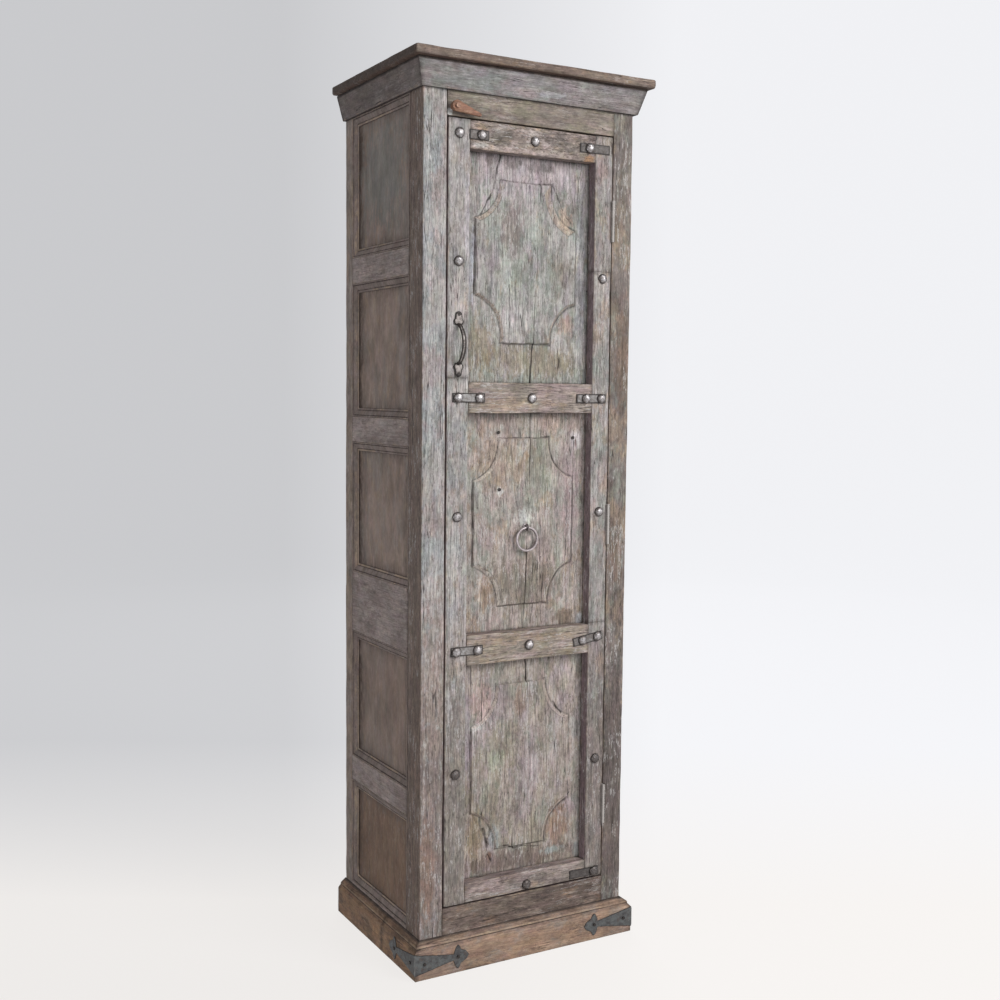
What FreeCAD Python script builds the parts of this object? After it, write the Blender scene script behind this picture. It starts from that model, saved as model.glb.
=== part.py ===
import FreeCAD
import Part
import Sketcher
import math
import os
import re

# Tall one-door storage cabinet of old painted boards, in millimetres.
# The origin is on the floor at the middle of the cabinet's bounding box, and the door faces -Y.

doc = FreeCAD.newDocument("storage_cabinet")
sheet = doc.addObject("Spreadsheet::Sheet", "sizes")

# Every size that can be set by itself: alias, value, what it is.
SIZES = [
    ("body_wide", 507, "case from side to side, over the posts"),
    ("body_deep", 398, "case from face to back, over the posts"),
    ("total_tall", 1900, "floor to the top of the crown board"),
    ("crown_thick", 19.5, "crown board"),
    ("crown_side_over", 34, "crown board past the case at each side"),
    ("crown_front_over", 37, "crown board past the case at the front"),
    ("crown_edge_round", 5, "worn round edge of the crown board"),
    ("cornice_tall", 53, "splayed cornice board"),
    ("cornice_foot_out", 7, "cornice foot in front of the case"),
    ("cornice_head_out", 21.5, "cornice head in front of the case"),
    ("cornice_lip_tall", 3, "upright edge at the cornice head"),
    ("post_left_wide", 53.5, "face of the latch side post"),
    ("post_right_wide", 50, "face of the hinge side post"),
    ("post_front_deep", 64, "side of a front post"),
    ("post_back_wide", 42, "back post, from side to side"),
    ("post_back_deep", 37, "back post, from front to back"),
    ("face_rail_thick", 30, "head and sill rails"),
    ("head_rail_show_tall", 50.3, "head rail seen between cornice and door"),
    ("sill_show_tall", 57, "sill rail seen between plinth and door"),
    ("sill_behind_tall", 30, "sill rail hidden behind the plinth"),
    ("face_tenon_thick", 12, "tenons of the head and sill rails"),
    ("tenon_long", 24, "tenons of the case rails"),
    ("tenon_shoulder", 9, "shoulder above and below a tenon"),
    ("side_rail_thick", 26, "side frame rails"),
    ("side_rail_tall", 57, "ordinary side rail"),
    ("side_lock_rail_tall", 137, "wide side rail"),
    ("side_foot_rail_tall", 84, "lowest side rail, mostly behind the plinth"),
    ("side_head_rail_tall", 52.5, "highest side rail, behind the cornice"),
    ("side_recess", 10, "side panel behind the frame's face"),
    ("side_panel_thick", 10, "side panel, its groove and the rail tenons"),
    ("groove_deep", 8, "groove for the side panels"),
    ("panel_edge_gap", 0.5, "room round a panel in its groove or rebate"),
    ("side_mould_wide", 20, "sloped moulding round a side panel"),
    ("side_mould_thin", 1.5, "its inner edge"),
    ("back_board_thick", 12, "back boards"),
    ("back_rebate_wide", 14, "rebate of the back posts for the boards"),
    ("back_rail_thick", 20, "back rails"),
    ("back_rail_tall", 70, "back rails"),
    ("back_tenon_long", 16, "tenons of the back rails"),
    ("back_tenon_thick", 8, "tenons of the back rails"),
    ("back_board_gap", 0.8, "open joint between back boards"),
    ("shelf_thick", 18, "shelves and bottom board"),
    ("shelf_fit", 0.5, "room round a shelf"),
    ("shelf_stop_gap", 1, "closed door to the shelf edges that stop it"),
    ("bearer_wide", 16, "batten under a shelf end"),
    ("bearer_tall", 22, "batten under a shelf end"),
    ("plinth_tall", 79, "plinth against the case"),
    ("plinth_out", 19.3, "plinth face in front of the case"),
    ("plinth_face_tall", 59, "upright face of the plinth"),
    ("plinth_bevel_tall", 66, "top of the plinth's outer bevel"),
    ("plinth_step_out", 13, "edge of the plinth's sloped top"),
    ("plinth_step_tall", 69, "outer edge of the sloped top"),
    ("plinth_joint_back", 152, "butt joint of the left plinth behind the case face"),
    ("corner_strap_thick", 1.8, "iron corner strap of the plinth"),
    ("corner_strap_root_tall", 46, "strap at the plinth's corner"),
    ("corner_strap_neck_tall", 13, "strap before its head"),
    ("corner_strap_arm_long", 92, "plinth's corner to the head of the strap"),
    ("corner_strap_head_long", 36, "spear head of the strap"),
    ("corner_strap_head_tall", 54, "over the two lobes of the head"),
    ("corner_strap_up", 35, "strap's middle above the floor"),
    ("latch_gap", 3, "door to the latch side post"),
    ("hinge_gap", 1.5, "door to the hinge side post"),
    ("head_gap", 2.5, "door to the head rail"),
    ("foot_gap", 3, "door to the sill rail"),
    ("door_thick", 40, "door frame"),
    ("stile_latch_wide", 50, "door stile with the handle"),
    ("stile_hinge_wide", 44.5, "door stile with the hinges"),
    ("door_top_rail_tall", 58, "door rail"),
    ("door_middle_rail_tall", 64, "each of the two middle door rails"),
    ("door_bottom_rail_tall", 42, "door rail"),
    ("door_recess", 25, "panel ground behind the door's face"),
    ("door_rebate_wide", 10, "rebate for the panel boards"),
    ("door_tenon_thick", 11, "tenons of the door rails"),
    ("door_tenon_long", 30, "tenons of the door rails"),
    ("board_seam_gap", 0.6, "crack between the two boards of a panel"),
    ("field_thick", 5, "raised field above the panel ground"),
    ("field_left_margin", 24, "latch stile to the field"),
    ("field_right_margin", 34, "field to the hinge stile"),
    ("field_margin_tall", 53, "rail to the field"),
    ("field_low_margin", 82.5, "upper door rail to the top panel's field"),
    ("scoop_tall", 88, "scooped field corner"),
    ("scoop_round", 84, "radius of the scoop"),
    ("nail_head_wide", 22, "domed iron nail"),
    ("nail_head_tall", 7, "domed iron nail"),
    ("nail_shank_wide", 5, "domed iron nail"),
    ("nail_shank_long", 34, "domed iron nail, below the door's face"),
    ("strap_long", 76, "iron strap over a door joint"),
    ("strap_wide", 20, "iron strap over a door joint"),
    ("strap_thick", 2, "iron strap over a door joint"),
    ("strap_nail_inset", 13, "strap end to the first nail"),
    ("strap_nail_pitch", 50, "first nail to the second, latch side"),
    ("strap_near_pitch", 39, "first nail to the second, hinge side"),
    ("strap_tilt", 9, "degrees that one strap is out of level"),
    ("strap_short_long", 45, "short strap at the upper latch corner"),
    ("strap_short_on_stile", 2.5, "its end on the stile"),
    ("strap_low_nail_up", 13.4, "door's foot to the nails of its bottom rail"),
    ("old_nail_down", 41, "middle panel's head to a nail left in it"),
    ("old_nail_side_in", 32.6, "hinge stile to a nail left in the scooped corner"),
    ("old_nail_side_down", 53.5, "middle panel's head to that nail"),
    ("small_nail_wide", 7, "head of a small nail"),
    ("small_nail_tall", 2, "head of a small nail"),
    ("small_shank_wide", 2.6, "small nail"),
    ("small_shank_long", 12, "small nail"),
    ("handle_above_rail", 10, "foot of the pull handle above the door rail"),
    ("handle_tall", 134, "pull handle over its end plates"),
    ("handle_plate_tall", 29, "end plate"),
    ("handle_plate_thick", 2.5, "end plate"),
    ("handle_lobe_wide", 13, "outer lobe of an end plate"),
    ("handle_cheek_wide", 15, "each inner lobe of an end plate"),
    ("handle_plate_wide", 24, "end plate over its inner lobes"),
    ("handle_bow_out", 27, "middle of the grip in front of the stile"),
    ("handle_bar_wide", 7, "round grip"),
    ("ring_wide", 56, "pull ring, outside"),
    ("ring_wire_wide", 6.5, "wire of the ring"),
    ("ring_play", 0.3, "ring's wire above the foot of the eye"),
    ("eye_wide", 16, "eye that holds the ring, outside"),
    ("eye_wire_wide", 4, "wire of the eye"),
    ("eye_out", 8, "middle of the eye in front of the field"),
    ("eye_shank_long", 16, "eye's shank in the board"),
    ("eye_plate_wide", 15, "round washer under the eye"),
    ("eye_plate_thick", 1.5, "round washer under the eye"),
    ("hinge_tall", 88, "butt hinge"),
    ("hinge_leaf_deep", 30, "leaf let into the door's or post's edge"),
    ("hinge_leaf_thick", 2, "leaf"),
    ("hinge_barrel_wide", 7.6, "knuckles"),
    ("hinge_pin_wide", 3.8, "pin"),
    ("running_gap", 0.05, "pin to its bore, all round"),
    ("knuckle_gap", 0.3, "between knuckles, and barrel to wood"),
    ("hinge_screw_head_wide", 7, "countersunk screw"),
    ("hinge_screw_wide", 3.5, "countersunk screw"),
    ("hinge_screw_long", 17, "countersunk screw, in the wood"),
    ("hinge_screw_pitch", 30, "between the screws of a leaf"),
    ("button_long", 68, "wooden turn button"),
    ("button_head_wide", 23, "its round end"),
    ("button_tip_wide", 7, "its tip"),
    ("button_thick", 8, "its thickness"),
    ("button_lift", 8, "washer block that holds it off the case"),
    ("button_block_wide", 17, "washer block"),
    ("button_side_in", 15.5, "latch side edge of the head rail to its pivot"),
    ("button_above_door", 18, "head rail's lower edge to its pivot"),
    ("button_screw_wide", 5, "pivot screw"),
    ("button_screw_long", 24, "pivot screw in the rail"),
    ("button_screw_head_wide", 10, "head of the pivot screw"),
    ("button_screw_head_tall", 3, "head of the pivot screw"),
    ("button_play", 0.2, "room before and behind the turning button"),
    ("button_rest_angle", 14, "degrees that its tip hangs below level"),
    ("cut_over", 5, "overrun of every cut"),
]

sheet.set("A1", "size")
sheet.set("B1", "value")
sheet.set("C1", "what it is")
for row, (alias, value, meaning) in enumerate(SIZES, start=2):
    sheet.set("A%d" % row, alias)
    sheet.set("B%d" % row, str(value))
    sheet.setAlias("B%d" % row, alias)
    sheet.set("C%d" % row, meaning)
doc.recompute()

# Places given as shares of the piece that carries them.
SIDE_BAY_SHARES = (0.1695, 0.2039, 0.2060, 0.2063, 0.2143)
DOOR_BAY_SHARES = (0.3345, 0.3303, 0.3352)
SEAM_SHARES = ((0.592, 0.520), (0.498, 0.537), (0.532, 0.604))
SHELF_SHARES = (0.25, 0.50, 0.75)
HINGE_SHARES = (0.1015, 0.4878, 0.8906)
LATCH_NAIL_SHARES = (0.173, 0.506, 0.826)
HINGE_STILE_NAIL_SHARES = (0.166, 0.505, 0.815)
RING_SHARE = 0.475
RING_SIDE_SHARE = 0.496
OLD_NAIL_SIDE_SHARE = 0.280
OLD_NAIL_FIELD_SHARES = (0.283, 0.652)
SCOOP_WIDE_SHARE = 0.2475
CROWN_ROUND_SHARE = 0.45
STRAP_LOBE_SHARE = 0.28
STRAP_WAIST_SHARE = 0.45
STRAP_WAIST_TALL_SHARE = 0.24

front = "((crown_front_over - body_deep) / 2)"
back = "((crown_front_over + body_deep) / 2)"
left = "(-body_wide / 2)"
right = "(body_wide / 2)"
post_top = "(total_tall - crown_thick)"
opening_left = f"({left} + post_left_wide)"
opening_right = f"({right} - post_right_wide)"
opening_foot = "(plinth_tall + sill_show_tall)"
opening_head = f"({post_top} - cornice_tall - head_rail_show_tall)"
door_left = f"({opening_left} + latch_gap)"
door_right = f"({opening_right} - hinge_gap)"
door_foot = f"({opening_foot} + foot_gap)"
door_head = f"({opening_head} - head_gap)"
door_tall = f"({door_head} - {door_foot})"
panel_left = f"({door_left} + stile_latch_wide)"
panel_right = f"({door_right} - stile_hinge_wide)"
panel_wide = f"({panel_right} - {panel_left})"
stile_latch_middle = f"({door_left} + stile_latch_wide / 2)"
stile_hinge_middle = f"({door_right} - stile_hinge_wide / 2)"
ground = f"({front} + door_recess)"
door_back = f"({front} + door_thick)"

UP = FreeCAD.Vector(0, 0, 1)
ALONG_X = FreeCAD.Rotation(FreeCAD.Vector(0, 1, 0), 90)
ALONG_BACK = FreeCAD.Rotation(FreeCAD.Vector(1, 0, 0), -90)
TO_FRONT = FreeCAD.Rotation(FreeCAD.Vector(1, 0, 0), 90)
QUARTER_TURN = FreeCAD.Rotation(UP, 90)
QUARTER_BACK = FreeCAD.Rotation(UP, -90)
HALF_TURN = FreeCAD.Rotation(UP, 180)
ALONG_MINUS_X = FreeCAD.Rotation(FreeCAD.Vector(0, 1, 0), -90)

subparts = []
count = 0


def measure(expression):
    """Value of an expression of sizes, for the first shape of a sketch."""
    found = sheet.evalExpression(expression)
    return float(getattr(found, "Value", found))


def tie(made, name, expression):
    """Binds a property to an expression of sizes. Every alias has an underscore, and no function has one."""
    on_sheet = re.sub(r"\b[a-z]+(_[a-z]+)+\b", lambda word: "sizes." + word.group(0), expression)
    made.setExpression(name, on_sheet)


def new(kind, name):
    global count
    count = count + 1
    return doc.addObject(kind, "%s_%d" % (name, count))


def put(shape, at, turn=None):
    """Sets a turn and binds the place of an object to three expressions."""
    if turn is not None:
        shape.Placement = FreeCAD.Placement(FreeCAD.Vector(), turn)
    for axis, expression in zip("xyz", at):
        if expression != "0":
            tie(shape, "Placement.Base." + axis, expression)
    return shape


def bind(shape, **spans):
    for name, expression in spans.items():
        tie(shape, name, expression)
    return shape


def box(name, low, high):
    """Board between two corners, each given as three expressions."""
    made = put(new("Part::Box", name), low)
    spans = ["(%s) - (%s)" % (top, bottom) for bottom, top in zip(low, high)]
    return bind(made, Length=spans[0], Width=spans[1], Height=spans[2])


def rod(name, at, wide, long, turn=None):
    """Cylinder from its first end, along +Z or turned."""
    made = put(new("Part::Cylinder", name), at, turn)
    return bind(made, Radius="(%s) / 2" % wide, Height=long)


def fuse(name, pieces):
    made = new("Part::MultiFuse", name)
    made.Shapes = pieces
    return made


def group(name, pieces):
    made = new("Part::Compound", name)
    made.Links = pieces
    return made


def cut(name, base, tools):
    made = new("Part::Cut", name)
    made.Base = base
    made.Tool = tools[0] if len(tools) == 1 else group(name + "_cuts", tools)
    return made


def keep(made, label):
    """Marks an object as a sub-part, under its node name."""
    made.Label = label
    subparts.append(made)
    return made


def wedge(name, at, turn, near, far):
    """Block between two rectangles, each given as (y, low x, high x, low z, high z)."""
    made = put(new("Part::Wedge", name), at, turn)
    bind(made, Ymin=near[0], Xmin=near[1], Xmax=near[2], Zmin=near[3], Zmax=near[4])
    return bind(made, Ymax=far[0], X2min=far[1], X2max=far[2], Z2min=far[3], Z2max=far[4])


def point_on(sketch, line, end, x, y):
    """Ties one end of a line to two signed distances from the sketch's origin."""
    for kind, axis, expression in (("DistanceX", -2, x), ("DistanceY", -1, y)):
        if expression == "0":
            sketch.addConstraint(Sketcher.Constraint("PointOnObject", line, end, axis))
        else:
            span = measure(expression)
            index = sketch.addConstraint(Sketcher.Constraint(kind, -1, 1, line, end, span))
            tie(sketch, "Constraints[%d]" % index, expression)


def outline(body, plane, name, corners):
    """Closed sketch. A corner is (x, y), or (x, y, radius) where an arc runs on to the next corner;
    a negative radius bulges the arc to the left of its run."""
    sketch = body.newObject("Sketcher::SketchObject", name)
    flat = [feature for feature in body.Origin.OriginFeatures if feature.Role == plane][0]
    sketch.AttachmentSupport = [(flat, "")]
    sketch.MapMode = "FlatFace"
    places = [FreeCAD.Vector(measure(corner[0]), measure(corner[1]), 0) for corner in corners]
    ends = []
    for index, corner in enumerate(corners):
        start = places[index]
        stop = places[(index + 1) % len(places)]
        if len(corner) == 2:
            line = sketch.addGeometry(Part.LineSegment(start, stop), False)
            ends.append((line, 1, 2))
            continue
        radius = measure(corner[2].lstrip("-"))
        side = -1 if corner[2].startswith("-") else 1
        chord = stop - start
        across = FreeCAD.Vector(chord.y, -chord.x, 0).normalize()
        half = chord.Length / 2
        rise = radius - math.sqrt(max(radius * radius - half * half, 0))
        middle = (start + stop) * 0.5 + across * (side * rise)
        line = sketch.addGeometry(Part.Arc(start, middle, stop), False)
        from_first = sketch.getPoint(line, 1).distanceToPoint(start)
        from_second = sketch.getPoint(line, 2).distanceToPoint(start)
        ends.append((line, 1, 2) if from_first < from_second else (line, 2, 1))
        index = sketch.addConstraint(Sketcher.Constraint("Radius", line, radius))
        tie(sketch, "Constraints[%d]" % index, corner[2].lstrip("-"))
    for index, (line, begin, finish) in enumerate(ends):
        after = ends[(index + 1) % len(ends)]
        sketch.addConstraint(Sketcher.Constraint("Coincident", line, finish, after[0], after[1]))
        point_on(sketch, line, begin, corners[index][0], corners[index][1])
    return sketch


def pad(body, sketch, name, thick, back_side):
    made = body.newObject("PartDesign::Pad", name)
    made.Profile = sketch
    tie(made, "Length", thick)
    made.Reversed = back_side
    return made


def new_body(name):
    return doc.addObject("PartDesign::Body", name)


# Positions along the height
side_fixed = "(side_foot_rail_tall + side_head_rail_tall + 3 * side_rail_tall + side_lock_rail_tall)"
side_free = f"({post_top} - {side_fixed})"
side_levels = []
level = "side_foot_rail_tall"
side_rail_talls = ("side_rail_tall", "side_lock_rail_tall", "side_rail_tall", "side_rail_tall",
                   "side_head_rail_tall")
for share, rail_tall in zip(SIDE_BAY_SHARES, side_rail_talls):
    bay_head = f"{level} + {share} * {side_free}"
    side_levels.append((f"({level})", f"({bay_head})"))
    level = f"{bay_head} + {rail_tall}"

door_fixed = "(door_top_rail_tall + 2 * door_middle_rail_tall + door_bottom_rail_tall)"
door_free = f"({door_tall} - {door_fixed})"
door_levels = []
level = f"{door_foot} + door_bottom_rail_tall"
for share in DOOR_BAY_SHARES:
    bay_head = f"{level} + {share} * {door_free}"
    door_levels.append((f"({level})", f"({bay_head})"))
    level = f"{bay_head} + door_middle_rail_tall"

rail_feet = [door_foot, door_levels[0][1], door_levels[1][1], door_levels[2][1]]
rail_heads = [door_levels[0][0], door_levels[1][0], door_levels[2][0], door_head]
rail_names = ["door_rail_bottom", "door_rail_lower", "door_rail_upper", "door_rail_top"]
rail_middles = [f"(({foot} + {head}) / 2)" for foot, head in zip(rail_feet, rail_heads)]
bottom_nail_up = f"({door_foot} + strap_low_nail_up)"

# Domed nails: x, z, and the face that the head sits on
over_strap = f"({front} - strap_thick)"
strap_left_end = f"({stile_latch_middle} - strap_nail_inset)"
strap_right_start = f"({stile_hinge_middle} + strap_nail_inset - strap_long)"
left_strap_nails = [stile_latch_middle, f"({stile_latch_middle} + strap_nail_pitch)"]
right_strap_nails = [stile_hinge_middle, f"({stile_hinge_middle} - strap_near_pitch)"]
strap_middle = f"({strap_right_start} + strap_long / 2)"
panel_middle = f"(({panel_left} + {panel_right}) / 2)"
short_strap_start = f"({panel_left} - strap_short_on_stile)"

nails = [(panel_middle, rail_middles[1], front), (panel_middle, rail_middles[2], front)]
nails += [(panel_middle, rail_middles[3], front), (panel_middle, bottom_nail_up, front)]
nails += [(stile_latch_middle, rail_middles[3], front)]
nails += [(x, rail_middles[3], over_strap) for x in (left_strap_nails[1], right_strap_nails[1])]
nails += [(right_strap_nails[0], bottom_nail_up, over_strap)]
nails += [(x, middle, over_strap) for middle in rail_middles[1:3] for x in left_strap_nails]
nails += [(x, rail_middles[2], over_strap) for x in right_strap_nails]
for x in right_strap_nails:
    nails.append((x, f"({rail_middles[1]} + ({x} - {strap_middle}) * tan(strap_tilt))", over_strap))
for x, shares in ((stile_latch_middle, LATCH_NAIL_SHARES), (stile_hinge_middle, HINGE_STILE_NAIL_SHARES)):
    nails += [(x, f"({door_foot} + {share} * {door_tall})", front) for share in shares]

nail_pieces = []
shank_cuts = []
dome_radius = "(pow(nail_head_wide / 2; 2) + pow(nail_head_tall; 2)) / (2 * nail_head_tall)"
for x, z, seat in nails:
    dome = put(new("Part::Sphere", "nail_dome"), (x, f"{seat} - nail_head_tall + {dome_radius}", z), TO_FRONT)
    bind(dome, Radius=dome_radius, Angle1=f"asin(1 - nail_head_tall / ({dome_radius}))")
    reach = f"nail_shank_long + {front} - ({seat})"
    shank = rod("nail_shank", (x, seat, z), "nail_shank_wide", reach, ALONG_BACK)
    shank_cuts.append(shank)
    nail_pieces.append(fuse("nail", [dome, shank]))
keep(group("door_nails", nail_pieces), "door_nails")
all_shanks = group("shank_cuts", shank_cuts)

# Straps over the joints of the door: start x, length, height of the middle
straps = [(strap_left_end, "strap_long", rail_middles[1]), (strap_left_end, "strap_long", rail_middles[2])]
straps += [(short_strap_start, "strap_short_long", rail_middles[3])]
for middle in (rail_middles[2], rail_middles[3], bottom_nail_up):
    straps.append((strap_right_start, "strap_long", middle))
strap_plates = []
for x, long, z in straps:
    low = (x, over_strap, f"{z} - strap_wide / 2")
    high = (f"{x} + {long}", front, f"{z} + strap_wide / 2")
    strap_plates.append(box("strap", low, high))
tilted_plate = box("tilted_plate", ("-strap_long / 2", "-strap_thick", "-strap_wide / 2"),
                   ("strap_long / 2", "0", "strap_wide / 2"))
tilted_strap = put(group("tilted_strap", [tilted_plate]), (strap_middle, front, rail_middles[1]),
                   FreeCAD.Rotation(FreeCAD.Vector(0, -1, 0), measure("strap_tilt")))
tie(tilted_strap, "Placement.Rotation.Angle", "strap_tilt")
strap_set = group("strap_plates", strap_plates + [tilted_strap])
keep(cut("door_straps", strap_set, [all_shanks]), "door_straps")

# Small nails: in the handle's plates and left over in the middle panel
handle_foot = f"({door_levels[2][0]} + handle_above_rail)"
handle_head = f"({handle_foot} + handle_tall)"
handle_face = f"({front} - handle_plate_thick)"
lobe_low = f"({handle_foot} + handle_lobe_wide / 2)"
lobe_high = f"({handle_head} - handle_lobe_wide / 2)"
field_front = f"({ground} - field_thick)"
middle_foot, middle_head = door_levels[1]
middle_tall = f"({middle_head} - {middle_foot})"


def small_nail(x, seat, z):
    """A small nail's head and shank, and the hole that it fills."""
    head = rod("small_head", (x, seat, z), "small_nail_wide", "small_nail_tall", TO_FRONT)
    shank = rod("small_shank", (x, seat, z), "small_shank_wide", "small_shank_long", ALONG_BACK)
    return fuse("small_nail", [head, shank]), shank


handle_nail_low, handle_hole_low = small_nail(stile_latch_middle, handle_face, lobe_low)
handle_nail_high, handle_hole_high = small_nail(stile_latch_middle, handle_face, lobe_high)
handle_holes = group("handle_holes", [handle_hole_low, handle_hole_high])
keep(group("handle_nails", [handle_nail_low, handle_nail_high]), "handle_nails")

old_nails = []
old_holes = []
field_nail_along, field_nail_up = OLD_NAIL_FIELD_SHARES
for along, seat, z in (
        (f"{OLD_NAIL_SIDE_SHARE} * {panel_wide}", ground, f"({middle_head} - old_nail_down)"),
        (f"{panel_wide} - old_nail_side_in", ground, f"({middle_head} - old_nail_side_down)"),
        (f"{field_nail_along} * {panel_wide}", field_front, f"({middle_foot} + {field_nail_up} * {middle_tall})")):
    nail, hole = small_nail(f"({panel_left} + {along})", seat, z)
    old_nails.append(nail)
    old_holes.append(hole)
keep(group("panel_old_nails", old_nails), "panel_old_nails")

# Pull handle: a bow between two lobed plates
bow_half = "(handle_tall / 2 - handle_plate_tall + handle_bar_wide / 2)"
bow_radius = f"((pow({bow_half}; 2) + pow(handle_bow_out; 2)) / (2 * handle_bow_out))"
handle_middle = f"(({handle_foot} + {handle_head}) / 2)"
bow_at = (stile_latch_middle, f"{front} - handle_bow_out + {bow_radius}", handle_middle)
bow_ring = put(new("Part::Torus", "bow"), bow_at, ALONG_X)
bind(bow_ring, Radius1=bow_radius, Radius2="handle_bar_wide / 2")
bow_low = (f"{stile_latch_middle} - handle_bar_wide", f"{front} - 2 * handle_bow_out", handle_foot)
bow_high = (f"{stile_latch_middle} + handle_bar_wide", f"{front} - handle_plate_thick / 2", handle_head)
bow = new("Part::MultiCommon", "bow_front")
bow.Shapes = [bow_ring, box("bow_space", bow_low, bow_high)]
cheek_off = "(handle_plate_wide - handle_cheek_wide) / 2"
plate_pieces = [bow]
for lobe, inner, way in ((lobe_low, handle_foot, 1), (lobe_high, handle_head, -1)):
    cheek_up = f"{inner} + ({way}) * (handle_plate_tall - handle_cheek_wide / 2)"
    lobe_at = (stile_latch_middle, front, lobe)
    plate_pieces.append(rod("lobe", lobe_at, "handle_lobe_wide", "handle_plate_thick", TO_FRONT))
    neck_ends = sorted([lobe, cheek_up], key=measure)
    neck_low = (f"{stile_latch_middle} - handle_bar_wide / 2", f"{front} - handle_plate_thick", neck_ends[0])
    neck_high = (f"{stile_latch_middle} + handle_bar_wide / 2", front, neck_ends[1])
    plate_pieces.append(box("plate_neck", neck_low, neck_high))
    for side in (-1, 1):
        at = (f"{stile_latch_middle} + ({side}) * {cheek_off}", front, cheek_up)
        plate_pieces.append(rod("cheek", at, "handle_cheek_wide", "handle_plate_thick", TO_FRONT))
keep(cut("door_handle", fuse("handle_whole", plate_pieces), [handle_holes]), "door_handle")

# Ring and its eye, in the middle panel
eye_x = f"({panel_left} + {RING_SIDE_SHARE} * {panel_wide})"
eye_y = f"({field_front} - eye_out)"
eye_z = f"({middle_foot} + {RING_SHARE} * {middle_tall})"
eye_round = put(new("Part::Torus", "eye_round"), (eye_x, eye_y, eye_z), ALONG_X)
bind(eye_round, Radius1="(eye_wide - eye_wire_wide) / 2", Radius2="eye_wire_wide / 2")
eye_inner = f"({eye_y} + eye_wide / 2 - eye_wire_wide / 2)"
eye_shank = rod("eye_shank", (eye_x, eye_inner, eye_z), "eye_wire_wide",
                f"{field_front} + eye_shank_long - {eye_inner}", ALONG_BACK)
eye_plate = rod("eye_plate", (eye_x, field_front, eye_z), "eye_plate_wide", "eye_plate_thick", TO_FRONT)
keep(fuse("ring_eye", [eye_round, eye_shank, eye_plate]), "ring_eye")
ring_radius = "(ring_wide - ring_wire_wide) / 2"
ring_sag = "(eye_wide / 2 - eye_wire_wide - ring_wire_wide / 2 - ring_play)"
ring = put(new("Part::Torus", "ring"), (eye_x, eye_y, f"{eye_z} - {ring_sag} - {ring_radius}"), TO_FRONT)
bind(ring, Radius1=ring_radius, Radius2="ring_wire_wide / 2")
keep(ring, "pull_ring")

# Butt hinges: two leaves, a pin, and screws into the post and the door
pivot_x = f"(({door_right} + {opening_right}) / 2)"
pivot_y = f"({front} - hinge_barrel_wide / 2 - knuckle_gap)"
leaf_start = f"({front} + knuckle_gap)"
leaf_end = f"({front} + hinge_leaf_deep)"
screw_y = f"(({leaf_start} + {leaf_end}) / 2)"
hinge_feet = [f"({door_foot} + {share} * {door_tall} - hinge_tall / 2)" for share in HINGE_SHARES]
KNUCKLES = 5


def hinge_leaf(name, foot, near_x, far_x, own):
    """Leaf plate, the knuckles of its own and the straps that join them to the plate."""
    low_x, high_x = sorted([near_x, far_x], key=measure)
    pieces = [box(name + "_plate", (low_x, leaf_start, foot), (high_x, leaf_end, f"{foot} + hinge_tall"))]
    for knuckle in own:
        start = f"{foot} + {knuckle} * hinge_tall / {KNUCKLES}"
        start = f"{start} + knuckle_gap / 2" if knuckle > 0 else start
        trims = sum(1 for end in (0, KNUCKLES - 1) if knuckle != end)
        long = f"hinge_tall / {KNUCKLES} - {trims} * knuckle_gap / 2"
        pieces.append(rod(name + "_knuckle", (pivot_x, pivot_y, start), "hinge_barrel_wide", long))
        pieces.append(box(name + "_neck", (low_x, pivot_y, start), (high_x, leaf_start, f"{start} + {long}")))
    return fuse(name, pieces)


def hinge_screw(foot, turn_count, face_x, turn):
    """Countersunk screw whose flat head is level with the leaf."""
    z = f"{foot} + hinge_tall / 2 + ({turn_count}) * hinge_screw_pitch"
    head = put(new("Part::Cone", "screw_head"), (face_x, screw_y, z), turn)
    bind(head, Radius1="hinge_screw_head_wide / 2", Radius2="hinge_screw_wide / 2")
    bind(head, Height="hinge_leaf_thick")
    shank = rod("screw_shank", (face_x, screw_y, z), "hinge_screw_wide", "hinge_screw_long", turn)
    return fuse("hinge_screw", [head, shank])


case_leaf_far = f"({opening_right} + hinge_leaf_thick)"
door_leaf_far = f"({door_right} - hinge_leaf_thick)"
case_leaves = []
door_leaves = []
pins = []
case_screws = []
door_screws = []
for foot in hinge_feet:
    case_leaves.append(hinge_leaf("case_leaf", foot, opening_right, case_leaf_far, (0, 2, 4)))
    door_leaves.append(hinge_leaf("door_leaf", foot, door_right, door_leaf_far, (1, 3)))
    pins.append(rod("hinge_pin", (pivot_x, pivot_y, foot), "hinge_pin_wide", "hinge_tall"))
    for place in (-1, 0, 1):
        case_screws.append(hinge_screw(foot, place, opening_right, ALONG_X))
        door_screws.append(hinge_screw(foot, place, door_right, ALONG_MINUS_X))
pin_bore = "hinge_pin_wide + 2 * running_gap"
bores = []
case_leaf_beds = []
door_leaf_beds = []
for foot in hinge_feet:
    leaf_head = f"{foot} + hinge_tall"
    bore_foot = (pivot_x, pivot_y, f"{foot} - cut_over")
    bores.append(rod("pin_bore", bore_foot, pin_bore, "hinge_tall + 2 * cut_over"))
    case_leaf_beds.append(box("case_bed", (opening_right, front, foot), (case_leaf_far, leaf_end, leaf_head)))
    door_leaf_beds.append(box("door_bed", (door_leaf_far, front, foot), (door_right, leaf_end, leaf_head)))
bore_cuts = group("pin_bores", bores)
case_screw_group = keep(group("hinge_case_screws", case_screws), "hinge_case_screws")
door_screw_group = keep(group("hinge_door_screws", door_screws), "hinge_door_screws")
for label, leaves, screw_group in (("hinge_case_leaves", case_leaves, case_screw_group),
                                   ("hinge_door_leaves", door_leaves, door_screw_group)):
    keep(cut(label, group(label + "_set", leaves), [bore_cuts, screw_group]), label)
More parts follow.
